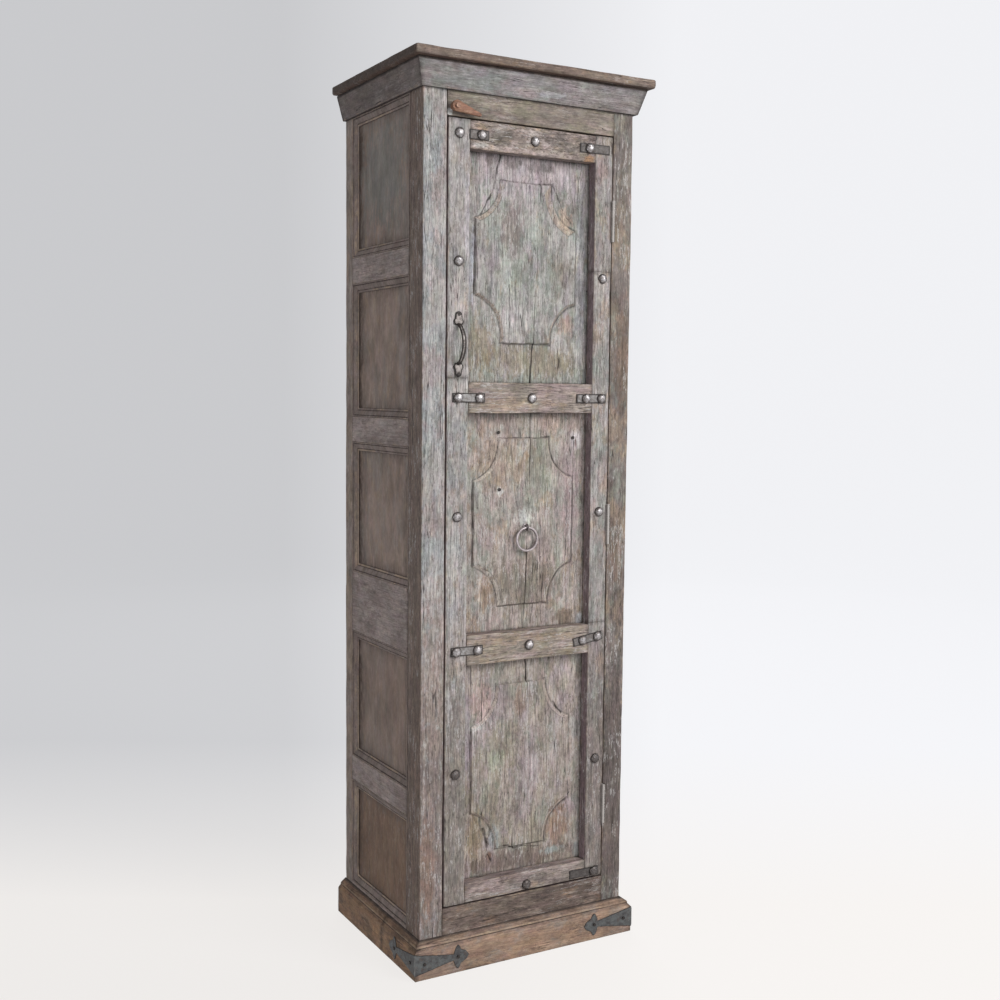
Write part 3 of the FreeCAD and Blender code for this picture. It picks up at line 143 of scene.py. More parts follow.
# A board: a rounded rectangle carried along the grain. Each corner's radius swells with noise along the board, the
# faces dip by noise, and the rows at both ends draw in on a quarter circle. Corners: high-high, low-high, low-low,
# high-low of the two axes across the grain.
def board(low, high, along, **changes):
    look = dict(plainBoard, **changes)
    low, high = np.asarray(low, float), np.asarray(high, float)
    axis = "xyz".index(along)
    a, b = [k for k in range(3) if k != axis]
    length = high[axis] - low[axis]
    turn = np.radians([90, 60, 30, 0])
    endRound = min(look["endRound"], length / 4)
    near, inset = endRound * (1 - np.sin(turn)), endRound * (1 - np.cos(turn))
    inner = np.linspace(endRound, length - endRound, max(2, int(round(length / look["step"])) + 1))[1:-1]
    run = np.concatenate([near, inner, length - near[::-1]])
    inset = np.concatenate([inset, np.zeros(len(inner)), inset[::-1]])[:, None]
    halfA, halfB = (high[a] - low[a]) / 2 - inset, (high[b] - low[b]) / 2 - inset
    signs = np.array([(1, 1), (-1, 1), (-1, -1), (1, -1)], float)
    cutsA = max(1, int(round((high[a] - low[a]) / look["sideStep"])))
    cutsB = max(1, int(round((high[b] - low[b]) / look["sideStep"])))
    corner, angle, part = [], [], []
    for k in range(4):
        arc = np.radians(90 * k + np.linspace(0, 90, look["cornerPoints"]))
        cuts = cutsA if k % 2 == 0 else cutsB
        corner += [k] * (len(arc) + cuts - 1)
        angle += arc.tolist() + [arc[-1]] * (cuts - 1)
        part += [0.0] * len(arc) + (np.arange(1, cuts) / cuts).tolist()
    corner, angle, part = np.array(corner), np.array(angle), np.array(part)
    # each corner's line is read from the noise at a place of its own, 57 mm from the next
    lineKeys = np.zeros((len(run), 4, 3))
    lineKeys[..., 0], lineKeys[..., 1] = run[:, None], np.arange(4) * 57.0
    lineKeys[..., 2] = 5.0 * look["seed"] + low[axis]
    chips = np.maximum(lumps(lineKeys, look["shortSwell"], 4), 0)
    swell = 1 + look["uneven"] * (lumps(lineKeys, look["longSwell"], 3) + 0.7 * chips)
    radius = look["round"] * np.array(look["corners"]) * np.maximum(swell, look["leastRadius"])
    radius = np.minimum(radius, np.minimum(halfA, halfB) * 0.96)

    def onCorner(which):
        r = radius[:, which]
        return (signs[which, 0] * (halfA - r) + r * np.cos(angle), signs[which, 1] * (halfB - r) + r * np.sin(angle))

    hereA, hereB = onCorner(corner)
    nextA, nextB = onCorner((corner + 1) % 4)
    flatA, flatB = hereA + part * (nextA - hereA), hereB + part * (nextB - hereB)
    rings = np.zeros((len(run), len(corner), 3))
    rings[..., axis] = (low[axis] + run)[:, None]
    rings[..., a] = (low[a] + high[a]) / 2 + flatA
    rings[..., b] = (low[b] + high[b]) / 2 + flatB
    stretch = np.full(3, look["dipAcross"])
    stretch[axis] = look["dipAlong"]
    fine = lumps(rings, look["fineDip"], look["seed"] + 5)
    dip = look["dent"] * (0.5 + 0.35 * lumps(rings, stretch, look["seed"]) + 0.15 * fine)
    rings[..., a] -= dip * np.cos(angle)
    rings[..., b] -= dip * np.sin(angle)
    edge = np.maximum(halfA - np.abs(flatA), halfB - np.abs(flatB))
    fromEnd = np.minimum(run, length - run)[:, None]
    wear = np.exp(-np.minimum(edge, fromEnd + 1.0) / look["edgeReach"])
    grime = look["endGrime"] * np.exp(-fromEnd / look["endGrimeReach"]) * np.ones_like(edge)
    # Painted shade: faces turned from the front, and the rounded ends of rails, are marked to take the darker aside
    # colour.
    fromFront = {"z": 1 + np.sin(angle), "x": 1 + np.cos(angle), "y": 0 * angle}[along]
    endTurn = (along == "x") * np.clip(1.5 - 2.5 * fromEnd / endRound, 0, 1)
    return carried(rings, wear, grime, np.clip(np.maximum(fromFront, endTurn), 0, 1))


# A flat outline thickened: the ring is the outline, the rows go from the back to the front and draw in at the edge.
def plate(outline, thick, place, edge=0.4, crown=0.0, seed=0, dent=0.15):
    outline = np.asarray(outline, float)
    middle = outline.mean(0)
    reach = np.linalg.norm(outline - middle, axis=1).mean()
    shrink = np.array([edge, 0, 0, edge * 0.3, edge, reach * 0.35, reach * 0.7])
    depth = np.array([0, edge, thick - edge, thick - edge * 0.3, thick, thick + crown * 0.7, thick + crown])
    flat = middle + (outline - middle)[None] * (1 - shrink[:, None, None] / reach)
    rings = place(flat[..., 0], flat[..., 1], np.broadcast_to(depth[:, None], flat.shape[:2]))
    rings = rings + dent * lumps(rings, 7, seed)[..., None] * (depth[:, None, None] > edge)
    # The raised middle is pale, a painted highlight, and the rim dark, painted shade round the plate's foot.
    wear = smooth(shrink, 1.5 * edge, 4 * edge)[:, None] * np.ones(len(outline))
    return carried(rings, wear, 1 - wear)


# A turned form: the profile (radius, rise) spun round its axis.
def turned(profile, place, around=20, seed=0, dent=0.0):
    profile = np.asarray(profile, float)
    turn = np.linspace(0, 2 * np.pi, around, endpoint=False)
    radius, rise = profile[:, 0, None], profile[:, 1, None]
    rings = place(radius * np.cos(turn), radius * np.sin(turn), rise * np.ones(around))
    rings = rings + dent * lumps(rings, 5, seed)[..., None]
    # The top of the form is pale, a painted highlight, and its foot dark, painted shade where it meets the wood.
    wear = np.linspace(0, 1, len(profile))[:, None] * np.ones(around)
    return carried(rings, wear, 1 - wear)


# Places a flat form on the door's or case's front: across to the right, up, and out towards the viewer.
def onFront(x, y, z):
    return lambda u, v, out: np.stack([x + u, y - out + 0 * u, z + v], -1)


# A screen colour of three numbers from 0 to 255, made linear for the shaders.
def colour(red, green, blue):
    shade = np.array([red, green, blue]) / 255
    linear = np.where(shade <= 0.04045, shade / 12.92, ((shade + 0.055) / 1.055) ** 2.4)
    return (*linear.tolist(), 1.0)


# Adds a shader node. Its sockets are linked where they are given another node's socket, and set where it is a value.
def put(tree, kind, sockets, **settings):
    node = tree.nodes.new(kind)
    for name, value in settings.items():
        setattr(node, name, value)
    for socket, value in sockets.items():
        if isinstance(value, bpy.types.NodeSocket):
            tree.links.new(value, node.inputs[socket])
        else:
            node.inputs[socket].default_value = value
    return node


# The second colour over the first by the amount, or the two multiplied.
def blendColour(tree, amount, first, second, mode="MIX"):
    node = put(tree, "ShaderNodeMix", {0: amount, 6: first, 7: second}, data_type="RGBA", blend_type=mode)
    return node.outputs[2]


# The result of an arithmetic node on values, and of one on vectors.
def maths(tree, operation, first, second=0.0):
    return put(tree, "ShaderNodeMath", {0: first, 1: second}, operation=operation).outputs[0]


def vector(tree, operation, sockets, output="Vector"):
    return put(tree, "ShaderNodeVectorMath", sockets, operation=operation).outputs[output]


# The value's place between low and high, carried over to the second pair of limits and held inside them.
def between(tree, value, low, high, toLow=0.0, toHigh=1.0):
    node = put(tree, "ShaderNodeMapRange", {0: value, 1: low, 2: high, 3: toLow, 4: toHigh}, clamp=True)
    return node.outputs[0]


# Noise whose cells have the given size in millimetres along x, y and z.
def clouds(tree, coords, size, detail=4.0, rough=0.55, shift=0.0, output="Fac"):
    scale = [1000.0 / k for k in (size if isinstance(size, tuple) else (size,) * 3)]
    mapped = put(tree, "ShaderNodeMapping", {"Vector": coords, "Location": (shift, shift * 1.7, shift * 2.3),
                                             "Scale": scale})
    return put(tree, "ShaderNodeTexNoise", {"Vector": mapped.outputs[0], "Scale": 1.0, "Detail": detail,
                                            "Roughness": rough}).outputs[output]


# A size in x, y and z from the size across the grain and the size along it.
def alongGrain(across, along, grain):
    return tuple(along if axis == grain else across for axis in "xyz")


# The mark that a piece's points carry under this name.
def reading(tree, label):
    return put(tree, "ShaderNodeAttribute", {}, attribute_name=label).outputs["Fac"]


# A new material with an empty tree.
def emptyFinish(name):
    finish = bpy.data.materials.new(name)
    finish.use_nodes = True
    finish.node_tree.nodes.clear()
    return finish, finish.node_tree


# The patterns of old painted wood: the cells' size in mm across and along the grain, detail, roughness, shift, and
# whether they bend with the grain.
woodNoise = dict(
    blotch=(12, 26, 6, 0.72, 11, False), drift=(15, 42, 5, 0.6, 21, True), area=(50, 80, 5, 0.65, 23, False),
    streak=(3.4, 130, 5, 0.60, 5, True), fine=(1.4, 24, 3, 0.6, 7, True), mottle=(6, 10, 5, 0.72, 9, False),
    patch=(17, 34, 6, 0.68, 29, True), cloud=(38, 80, 4, 0.6, 3, False), pale=(6.0, 52, 4, 0.6, 13, True),
    fleck=(3.2, 6.5, 5, 0.7, 19, False), crack=(7.0, 100, 4, 0.6, 17, True), split=(19, 420, 3, 0.5, 27, True),
)
# The span of a noise's values that a pattern is drawn from: the narrower it is, the harder the pattern's edges.
firm, even, soft = (0.36, 0.64), (0.34, 0.66), (0.3, 0.7)
oldPaint = dict(
    bendScale=3.4, bendBy=0.014, hue=0.034, streak=0.28, fine=0.28, mottle=0.18, patch=0.16, cloud=0.16,
    pale=(210, 206, 204), paleAmount=0.7, crack=(58, 48, 45), crackAmount=0.72, split=(38, 30, 28), splitAmount=0.8,
    fleck=(88, 76, 70), fleckAmount=0.55, fleckCut=0.61,
    bare=(172, 152, 130), bareAmount=0.5, dirt=(46, 39, 37), dirtAmount=0.9, aside=(74, 62, 64), asideAmount=0.6,
    spots=[], bump=0.5, rough=0.66,
)


# A line along the contour of a noise: full where the noise lies within the inner width of the given level.
def contour(tree, noise, level, width, amount):
    off = maths(tree, "ABSOLUTE", maths(tree, "SUBTRACT", noise, level))
    return between(tree, off, width, width * 0.3, 0, amount)


# Old painted wood: a paint with tinted patches whose hue drifts, and spots of other paint; painted shade on faces
# turned from the front, as a darker colour that partly is the sides' own darker paint; bare wood on worn edges, which
# on the panels' crests is also a painted highlight; then soft streaks along the grain, stronger where the paint is
# thin, and patches of light and dark; pale scratches, fine cracks and long splits along the contour lines of stretched
# noise; flecks of lost paint; and a dark colour in corners, gaps and creases that is dirt and painted shade. The grain
# is the axis that it runs along. A tint is a colour, its amount, the size of its patches, and where their noise starts
# to show it. A spot is its centre, its reach, a colour and an amount.
def paintedWood(name, grain, seed, base, tints, **changes):
    look = dict(oldPaint, **changes)
    finish, tree = emptyFinish(name)
    place = put(tree, "ShaderNodeTexCoord", {}).outputs["Object"]
    bend = put(tree, "ShaderNodeTexNoise", {"Vector": place, "Scale": look["bendScale"], "Detail": 1.0})
    bend = vector(tree, "SUBTRACT", {0: bend.outputs["Color"], 1: (0.5, 0.5, 0.5)})
    bend = vector(tree, "SCALE", {0: bend, "Scale": look["bendBy"]})
    coords = vector(tree, "ADD", {0: place, 1: bend})

    def noise(label, output="Fac"):
        across, along, detail, rough, shift, bends = woodNoise[label]
        return clouds(tree, coords if bends else place, alongGrain(across, along, grain), detail, rough, seed + shift,
                      output)

    def over(under, mask, label):
        return blendColour(tree, mask, under, colour(*look[label]))

    blotch = noise("blotch")
    tone = colour(*base)
    for k, (shade, amount, size, cut) in enumerate(tints):
        patch = clouds(tree, coords, alongGrain(size * 0.6, size * 1.1, grain), 7, 0.70, seed + 31 + 7 * k)
        tone = blendColour(tree, between(tree, patch, cut - 0.02, cut + 0.06, 0, amount), tone, colour(*shade))
    for centre, reach, shade, amount in look["spots"]:
        away = vector(tree, "SUBTRACT", {0: place, 1: [c / 1000 for c in centre]})
        away = vector(tree, "MULTIPLY", {0: away, 1: [1000 / r for r in reach]})
        away = vector(tree, "LENGTH", {0: away}, "Value")
        ragged = maths(tree, "ADD", away, between(tree, blotch, *even, -0.6, 0.6))
        tone = blendColour(tree, between(tree, ragged, 1.15, 0.6, 0, amount), tone, colour(*shade))
    # Painted shade: faces turned from the front take the darker aside colour.
    tone = over(tone, between(tree, reading(tree, "aside"), 0.35, 0.8, 0, look["asideAmount"]), "aside")
    # Bare wood where the wear mark and the noise are high; on the panels' crests this pale colour is a painted
    # highlight.
    worn = maths(tree, "ADD", reading(tree, "wear"), between(tree, blotch, *even, -0.6, 0.3))
    tone = over(tone, between(tree, worn, 0.45, 0.8, 0, look["bareAmount"]), "bare")
    steep = look["hue"] / 0.15
    drift = vector(tree, "MULTIPLY_ADD", {0: noise("drift", "Color"), 1: (steep,) * 3, 2: (1 - steep / 2,) * 3})
    tone = blendColour(tree, 1.0, tone, drift, "MULTIPLY")
    area, streak, fine, wide = noise("area"), noise("streak"), noise("fine"), noise("cloud")
    thin = between(tree, area, 0.43, 0.57, 0.35, 1.0)
    shade = maths(tree, "MULTIPLY", between(tree, streak, *firm, -look["streak"], look["streak"]), thin)
    shade = maths(tree, "ADD", shade, 1.0)
    for pattern, label in ((fine, "fine"), (noise("mottle"), "mottle"), (noise("patch"), "patch"), (wide, "cloud")):
        shade = maths(tree, "MULTIPLY", shade, between(tree, pattern, *firm, 1 - look[label], 1 + look[label]))
    grey = put(tree, "ShaderNodeCombineColor", {0: shade, 1: shade, 2: shade})
    tone = blendColour(tree, 1.0, tone, grey.outputs[0], "MULTIPLY")
    lost = look["fleckCut"]
    masks = dict(fleck=between(tree, noise("fleck"), lost, lost + 0.03, 0, look["fleckAmount"]))
    # label, the noise's level, the line's width, and the pattern that the lines keep to: its values where none of
    # them shows and where they show in full
    for label, level, width, keeper, none, full in (("pale", 0.56, 0.024, area, 0.49, 0.55),
                                                    ("crack", 0.46, 0.016, area, 0.54, 0.46),
                                                    ("split", 0.48, 0.0095, wide, 0.51, 0.57)):
        line = contour(tree, noise(label), level, width, look[label + "Amount"])
        masks[label] = maths(tree, "MULTIPLY", line, between(tree, keeper, none, full))
    for label in ("pale", "fleck", "crack", "split"):
        tone = over(tone, masks[label], label)
    # Dirt and painted shade: a dark colour where the grime mark is high, in corners, gaps, creases and at board ends.
    soiled = maths(tree, "MULTIPLY", reading(tree, "grime"), between(tree, blotch, 0.36, 0.6, 0.5, 1.15))
    tone = over(tone, between(tree, soiled, 0.10, 0.85, 0, look["dirtAmount"]), "dirt")
    height = maths(tree, "ADD", between(tree, fine, *soft, 0, 0.4), between(tree, streak, *soft, 0, 0.6))
    for label, depth in (("crack", 1.0), ("split", 1.6), ("fleck", 0.4)):
        height = maths(tree, "SUBTRACT", height, maths(tree, "MULTIPLY", masks[label], depth))
    bump = put(tree, "ShaderNodeBump", {"Strength": look["bump"], "Distance": 0.0014, "Height": height})
    rough = between(tree, blotch, *soft, look["rough"] - 0.1, look["rough"] + 0.14)
    shader = put(tree, "ShaderNodeBsdfPrincipled", {"Base Color": tone, "Roughness": rough, "IOR": 1.42,
                                                    "Specular IOR Level": 0.35, "Normal": bump.outputs[0]})
    put(tree, "ShaderNodeOutputMaterial", {"Surface": shader.outputs[0]})
    return finish


oldIron = dict(rust=(104, 74, 54), rustAmount=0.3, lightAmount=0.5, pit=(40, 37, 36), rim=(34, 29, 28),
               rimAmount=0.85, rough=0.42, size=14.0, bump=0.25, rubbedLine=None)


# Old iron: two greys in clouds, rust in patches, a pale sheen where the wear mark is high, which is rubbed metal on
# the straps and a painted highlight on the nail heads, the handle and the ring, fine scratches and small pits, a dark
# rim that is painted shade round the foot of the nail heads and plates and also darkens the edges of the straps, and
# on
# the hinges a painted highlight: a bright line down the knuckles, given by its middle and half its width.
def wornIron(name, seed, base, second, light, metal, **changes):
    look = dict(oldIron, second=second, light=light, **changes)
    finish, tree = emptyFinish(name)

    def over(under, mask, label):
        return blendColour(tree, mask, under, colour(*look[label]))

    place = put(tree, "ShaderNodeTexCoord", {}).outputs["Object"]
    cloud = clouds(tree, place, look["size"], 6, 0.65, seed + 2)
    rustCloud = clouds(tree, place, look["size"] * 0.8, 6, 0.7, seed + 9)
    pits = clouds(tree, place, 1.6, 4, 0.7, seed + 4)
    scratch = clouds(tree, place, (9, 9, 1.2), 4, 0.6, seed + 6)
    tone = over(colour(*base), between(tree, cloud, 0.40, 0.62), "second")
    # Pale where the wear mark is high: rubbed metal, and a painted highlight on the nail heads, the handle and the
    # ring.
    rubbed = maths(tree, "ADD", reading(tree, "wear"), between(tree, cloud, *soft, -0.6, 0.2))
    tone = over(tone, between(tree, rubbed, 0.3, 0.8, 0, look["lightAmount"]), "light")
    tone = over(tone, between(tree, scratch, 0.60, 0.68, 0, 0.5), "light")
    tone = over(tone, between(tree, rustCloud, 0.52, 0.62, 0, look["rustAmount"]), "rust")
    tone = over(tone, between(tree, pits, 0.40, 0.30, 0, 0.5), "pit")
    # A dark rim where the grime mark is high: painted shade round the foot of the nail heads and plates.
    tone = over(tone, between(tree, reading(tree, "grime"), 0.52, 0.8, 0, look["rimAmount"]), "rim")
    # A painted highlight: a bright line down the hinge knuckles.
    if look["rubbedLine"]:
        middle, half = look["rubbedLine"]
        sideways = put(tree, "ShaderNodeSeparateXYZ", {0: place}).outputs[0]
        off = maths(tree, "ABSOLUTE", maths(tree, "SUBTRACT", sideways, middle / 1000))
        off = maths(tree, "ADD", off, between(tree, scratch, 0.4, 0.6, -0.0006, 0.0006))
        tone = over(tone, between(tree, off, half / 1000, half / 2000), "light")
    bump = put(tree, "ShaderNodeBump", {"Strength": look["bump"], "Distance": 0.0008,
                                        "Height": maths(tree, "ADD", pits, cloud)})
    rough = between(tree, rustCloud, 0.35, 0.65, look["rough"] - 0.1, look["rough"] + 0.25)
    metal = between(tree, rustCloud, 0.50, 0.62, metal, metal * 0.35)
    shader = put(tree, "ShaderNodeBsdfPrincipled", {"Base Color": tone, "Roughness": rough, "Metallic": metal,
                                                    "Normal": bump.outputs[0]})
    put(tree, "ShaderNodeOutputMaterial", {"Surface": shader.outputs[0]})
    return finish


pink, lilac, olive, sage = (170, 150, 148), (168, 154, 162), (140, 134, 112), (138, 148, 138)
blueGrey, tan, umber = (144, 152, 156), (168, 144, 118), (110, 96, 90)

# The first spot darkens the post's lower part: painted shade, darker towards the bottom.
greyPost = paintedWood("left post paint", "z", 1, (170, 165, 162), [
    (blueGrey, 0.5, 120, 0.49), (pink, 0.5, 90, 0.52), (umber, 0.45, 40, 0.60)], spots=[
    ((-228, -180, 300), (60, 70, 360), (134, 119, 113), 0.85), ((-236, -180, 230), (16, 40, 120), (142, 106, 84), 0.4),
    ((-225, -180, 640), (40, 60, 160), (158, 142, 134), 0.6)], aside=(123, 103, 91), asideAmount=0.92)
# The first spot darkens the post's lower part: painted shade, darker towards the bottom.
tanPost = paintedWood("right post paint", "z", 2.3, (128, 118, 113), [
    (tan, 0.4, 110, 0.51), (sage, 0.4, 80, 0.53), (umber, 0.6, 60, 0.53)], spots=[
    ((232, -180, 330), (60, 60, 360), (100, 90, 87), 0.85), ((235, -180, 1290), (22, 60, 120), (124, 103, 88), 0.6),
    ((226, -180, 860), (22, 60, 60), (124, 101, 82), 0.5), ((240, -180, 1740), (40, 60, 90), (112, 102, 98), 0.6)],
    aside=(112, 100, 92))
headPaint = paintedWood("head rail paint", "x", 3.1, (141, 130, 121), [
    (olive, 0.55, 100, 0.49), (umber, 0.5, 60, 0.54), (pink, 0.3, 70, 0.56)], streak=0.2, patch=0.14, spots=[
    ((-196, -180, 1786), (8, 40, 9), (226, 224, 224), 0.95)], asideAmount=0.3, paleAmount=0.3, fine=0.2,
    crackAmount=0.5)
sillPaint = paintedWood("sill paint", "x", 4.7, (115, 101, 93), [
    ((92, 78, 72), 0.7, 120, 0.48), ((138, 122, 112), 0.5, 60, 0.53), ((136, 108, 86), 0.4, 50, 0.56)], paleAmount=0.4)
cornicePaint = paintedWood("cornice paint", "x", 5.2, (148, 142, 141), [
    ((130, 121, 118), 0.6, 110, 0.49), (lilac, 0.3, 80, 0.53), (sage, 0.4, 60, 0.53), (umber, 0.4, 40, 0.59)], spots=[
    ((-150, -195, 1850), (90, 60, 18), (134, 140, 137), 0.5), ((40, -195, 1843), (44, 60, 7), (186, 184, 188), 0.7),
    ((-20, -195, 1840), (30, 60, 10), (168, 150, 152), 0.6), ((200, -195, 1842), (90, 60, 26), (130, 120, 118), 0.6)],
    streak=0.20, fine=0.20, paleAmount=0.3, crackAmount=0.4, bare=(150, 132, 120), aside=(104, 84, 72),
    asideAmount=0.8)
sideFramePaint = dict(streak=0.20, fine=0.16, mottle=0.14, paleAmount=0.2, crackAmount=0.4, splitAmount=0.4,
                      aside=(120, 104, 97))
sideRailPaint = paintedWood("side rail paint", "y", 7.4, (172, 155, 149), [
    ((136, 119, 112), 0.6, 120, 0.49), ((164, 150, 144), 0.4, 60, 0.54), (umber, 0.5, 60, 0.57)], **sideFramePaint)
sidePanelPaint = paintedWood("side panel paint", "z", 8.2, (163, 141, 129), [
    ((138, 132, 127), 0.5, 260, 0.50), ((128, 108, 94), 0.5, 130, 0.52), ((166, 140, 116), 0.5, 50, 0.56)], spots=[
    ((-243, 30, 190), (60, 210, 170), (128, 99, 77), 0.85), ((-243, 40, 1690), (60, 130, 120), (132, 127, 121), 0.85),
    ((-243, 30, 540), (60, 200, 150), (142, 118, 105), 0.5)],
    streak=0.10, fine=0.10, mottle=0.08, patch=0.10, hue=0.03, paleAmount=0.1, crackAmount=0.1, splitAmount=0.0,
    fleckAmount=0.15, asideAmount=0.0, dirt=(66, 51, 42), dirtAmount=0.9, bump=0.2)
sideEdgePaint = paintedWood("side moulding paint", "z", 9.3, (146, 130, 123), [
    ((124, 107, 98), 0.5, 90, 0.51)], bare=(176, 153, 132), bareAmount=0.9, streak=0.06, fine=0.06,
    mottle=0.16, paleAmount=0.1, crackAmount=0.0, splitAmount=0.0, dirt=(60, 49, 44))
rearPostPaint = paintedWood("rear post paint", "z", 10.1, (158, 143, 134), [
    ((164, 140, 118), 0.6, 120, 0.49), (umber, 0.5, 60, 0.54)], bare=(176, 152, 126),
    **dict(sideFramePaint, asideAmount=0.0))
crownPaint = paintedWood("crown board wood", "x", 11.5, (128, 112, 101), [
    ((108, 92, 84), 0.6, 120, 0.49), ((146, 132, 122), 0.5, 60, 0.53), ((150, 122, 98), 0.4, 50, 0.56)],
    bare=(158, 136, 116), bareAmount=0.6, aside=(92, 70, 59), asideAmount=0.85, streak=0.2, fine=0.18, paleAmount=0.3,
    crackAmount=0.4)
plinthPaint = dict(pale=(186, 166, 150), streak=0.13, fine=0.15, fleck=(92, 72, 60), fleckAmount=0.5, splitAmount=0.6,
                   paleAmount=0.4, crackAmount=0.5, aside=(98, 84, 76), asideAmount=0.85)
plinthWood = paintedWood("front plinth wood", "x", 12.9, (159, 132, 113), [
    ((168, 138, 114), 0.6, 120, 0.50), ((136, 115, 106), 0.6, 70, 0.52), ((150, 140, 134), 0.5, 50, 0.54)],
    **plinthPaint)
plinthSideWood = paintedWood("side plinth wood", "y", 13.2, (152, 119, 93), [
    ((168, 130, 98), 0.6, 100, 0.50), ((106, 84, 68), 0.7, 60, 0.52)], **plinthPaint)
plainWood = dict(paleAmount=0.3, streak=0.22, fine=0.20, asideAmount=0.0)
backWood = paintedWood("back wood", "z", 14.4, (140, 120, 102), [
    ((120, 100, 84), 0.6, 150, 0.48), ((156, 134, 112), 0.5, 80, 0.53)], **plainWood)
insideWood = paintedWood("inside wood", "x", 15.1, (150, 126, 102), [
    ((132, 106, 84), 0.6, 150, 0.48), ((164, 142, 118), 0.5, 80, 0.53)], **plainWood)
# Painted shade: the stiles' faces turned from the front, at the door's edges and beside the bays, take a dark
# purple-brown.
reveal = dict(aside=(130, 112, 116), asideAmount=0.85)
# The first spot darkens the stile's lower part: painted shade, darker towards the bottom.
stilePaint = paintedWood("latch stile paint", "z", 16.2, (172, 166, 163), [
    (pink, 0.3, 100, 0.51), (blueGrey, 0.3, 70, 0.52), (sage, 0.4, 60, 0.54), (tan, 0.35, 50, 0.56)], spots=[
    ((-172, -180, 300), (60, 70, 360), (134, 124, 116), 0.8),
    ((-172, -180, 1690), (60, 70, 260), (154, 148, 146), 0.6),
    ((-150, -180, 1560), (9, 40, 120), (196, 190, 196), 0.5)],
    **reveal)
# The first spot darkens the stile's lower part: painted shade, darker towards the bottom.
hingeStilePaint = paintedWood("hinge stile paint", "z", 17.8, (155, 150, 147), [
    (sage, 0.4, 90, 0.52), (pink, 0.45, 80, 0.51), (tan, 0.4, 60, 0.55), (umber, 0.5, 44, 0.57)], spots=[
    ((180, -180, 300), (60, 70, 360), (131, 120, 115), 0.8), ((176, -180, 1704), (14, 40, 22), (170, 146, 142), 0.6),
    ((200, -180, 1752), (5, 40, 20), (62, 46, 42), 0.85)], **reveal)
topRailPaint = paintedWood("top rail paint", "x", 18.4, (158, 144, 137), [
    (umber, 0.7, 36, 0.52), ((182, 168, 164), 0.7, 34, 0.53), (olive, 0.5, 40, 0.55), (tan, 0.5, 30, 0.56)],
    fleckCut=0.57, fleckAmount=0.7, streak=0.14, fine=0.2, mottle=0.3, patch=0.3, spots=[
    ((-72, -180, 1749), (26, 50, 20), (104, 98, 92), 0.75), ((72, -180, 1750), (40, 50, 24), (104, 96, 90), 0.7),
    ((5, -180, 1722), (150, 40, 7), (172, 156, 150), 0.7), ((-125, -180, 1727), (18, 40, 7), (192, 184, 180), 0.8),
    ((142, -180, 1722), (15, 50, 10), (178, 136, 98), 0.8)], aside=(146, 132, 128), asideAmount=0.7)
upperRailPaint = paintedWood("upper rail paint", "x", 19.6, (150, 138, 130), [
    (pink, 0.5, 90, 0.50), (olive, 0.45, 60, 0.55), (tan, 0.5, 50, 0.55)], streak=0.22, spots=[
    ((-60, -180, 1200), (60, 40, 14), (176, 152, 128), 0.5)], aside=(140, 126, 122), asideAmount=0.5)
lowerRailPaint = paintedWood("lower rail paint", "x", 20.3, (154, 142, 131), [
    (pink, 0.5, 90, 0.50), (olive, 0.5, 60, 0.53), (tan, 0.5, 50, 0.54)], streak=0.22, aside=(120, 104, 104),
    asideAmount=0.5)
bottomRailPaint = paintedWood("bottom rail paint", "x", 21.7, (148, 137, 130), [
    (pink, 0.5, 80, 0.50), (umber, 0.6, 50, 0.54), (tan, 0.4, 40, 0.56)], streak=0.22, aside=(130, 116, 116),
    asideAmount=0.5)
panelPaint = dict(fleckCut=0.60, paleAmount=0.7, asideAmount=0.0)
topPanelPaint = paintedWood("top panel paint", "z", 22.2, (168, 164, 160), [
    (sage, 0.55, 110, 0.49), (lilac, 0.4, 80, 0.54), (umber, 0.45, 46, 0.58), (tan, 0.35, 44, 0.58)], spots=[
    ((0, -156, 1690), (170, 60, 60), (186, 172, 177), 0.7), ((-30, -160, 1699), (26, 60, 11), (122, 112, 110), 0.6),
    ((40, -160, 1697), (34, 60, 12), (118, 110, 110), 0.7), ((-122, -156, 1640), (12, 40, 60), (128, 118, 112), 0.5),
    ((-88, -160, 1704), (10, 40, 14), (120, 108, 104), 0.7), ((-96, -157, 1614), (12, 40, 22), (192, 178, 184), 0.7),
    ((-127, -156, 1500), (4, 40, 95), (204, 204, 212), 0.8), ((100, -158, 1594), (18, 40, 28), (174, 151, 136), 0.75),
    ((-36, -160, 1560), (26, 40, 56), (128, 112, 108), 0.6), ((86, -160, 1480), (34, 40, 40), (132, 124, 114), 0.5),
    ((20, -156, 1290), (140, 40, 34), (140, 128, 108), 0.7), ((-110, -156, 1320), (30, 40, 60), (150, 134, 110), 0.6),
    ((102, -156, 1370), (20, 40, 26), (176, 150, 138), 0.7), ((-44, -160, 1420), (8, 40, 90), (198, 196, 194), 0.4),
    ((-135, -156, 1480), (9, 40, 110), (152, 155, 162), 0.6),
    ((138, -156, 1450), (14, 40, 180), (152, 150, 157), 0.6)],
    bare=(178, 154, 136), bareAmount=0.5, **panelPaint)
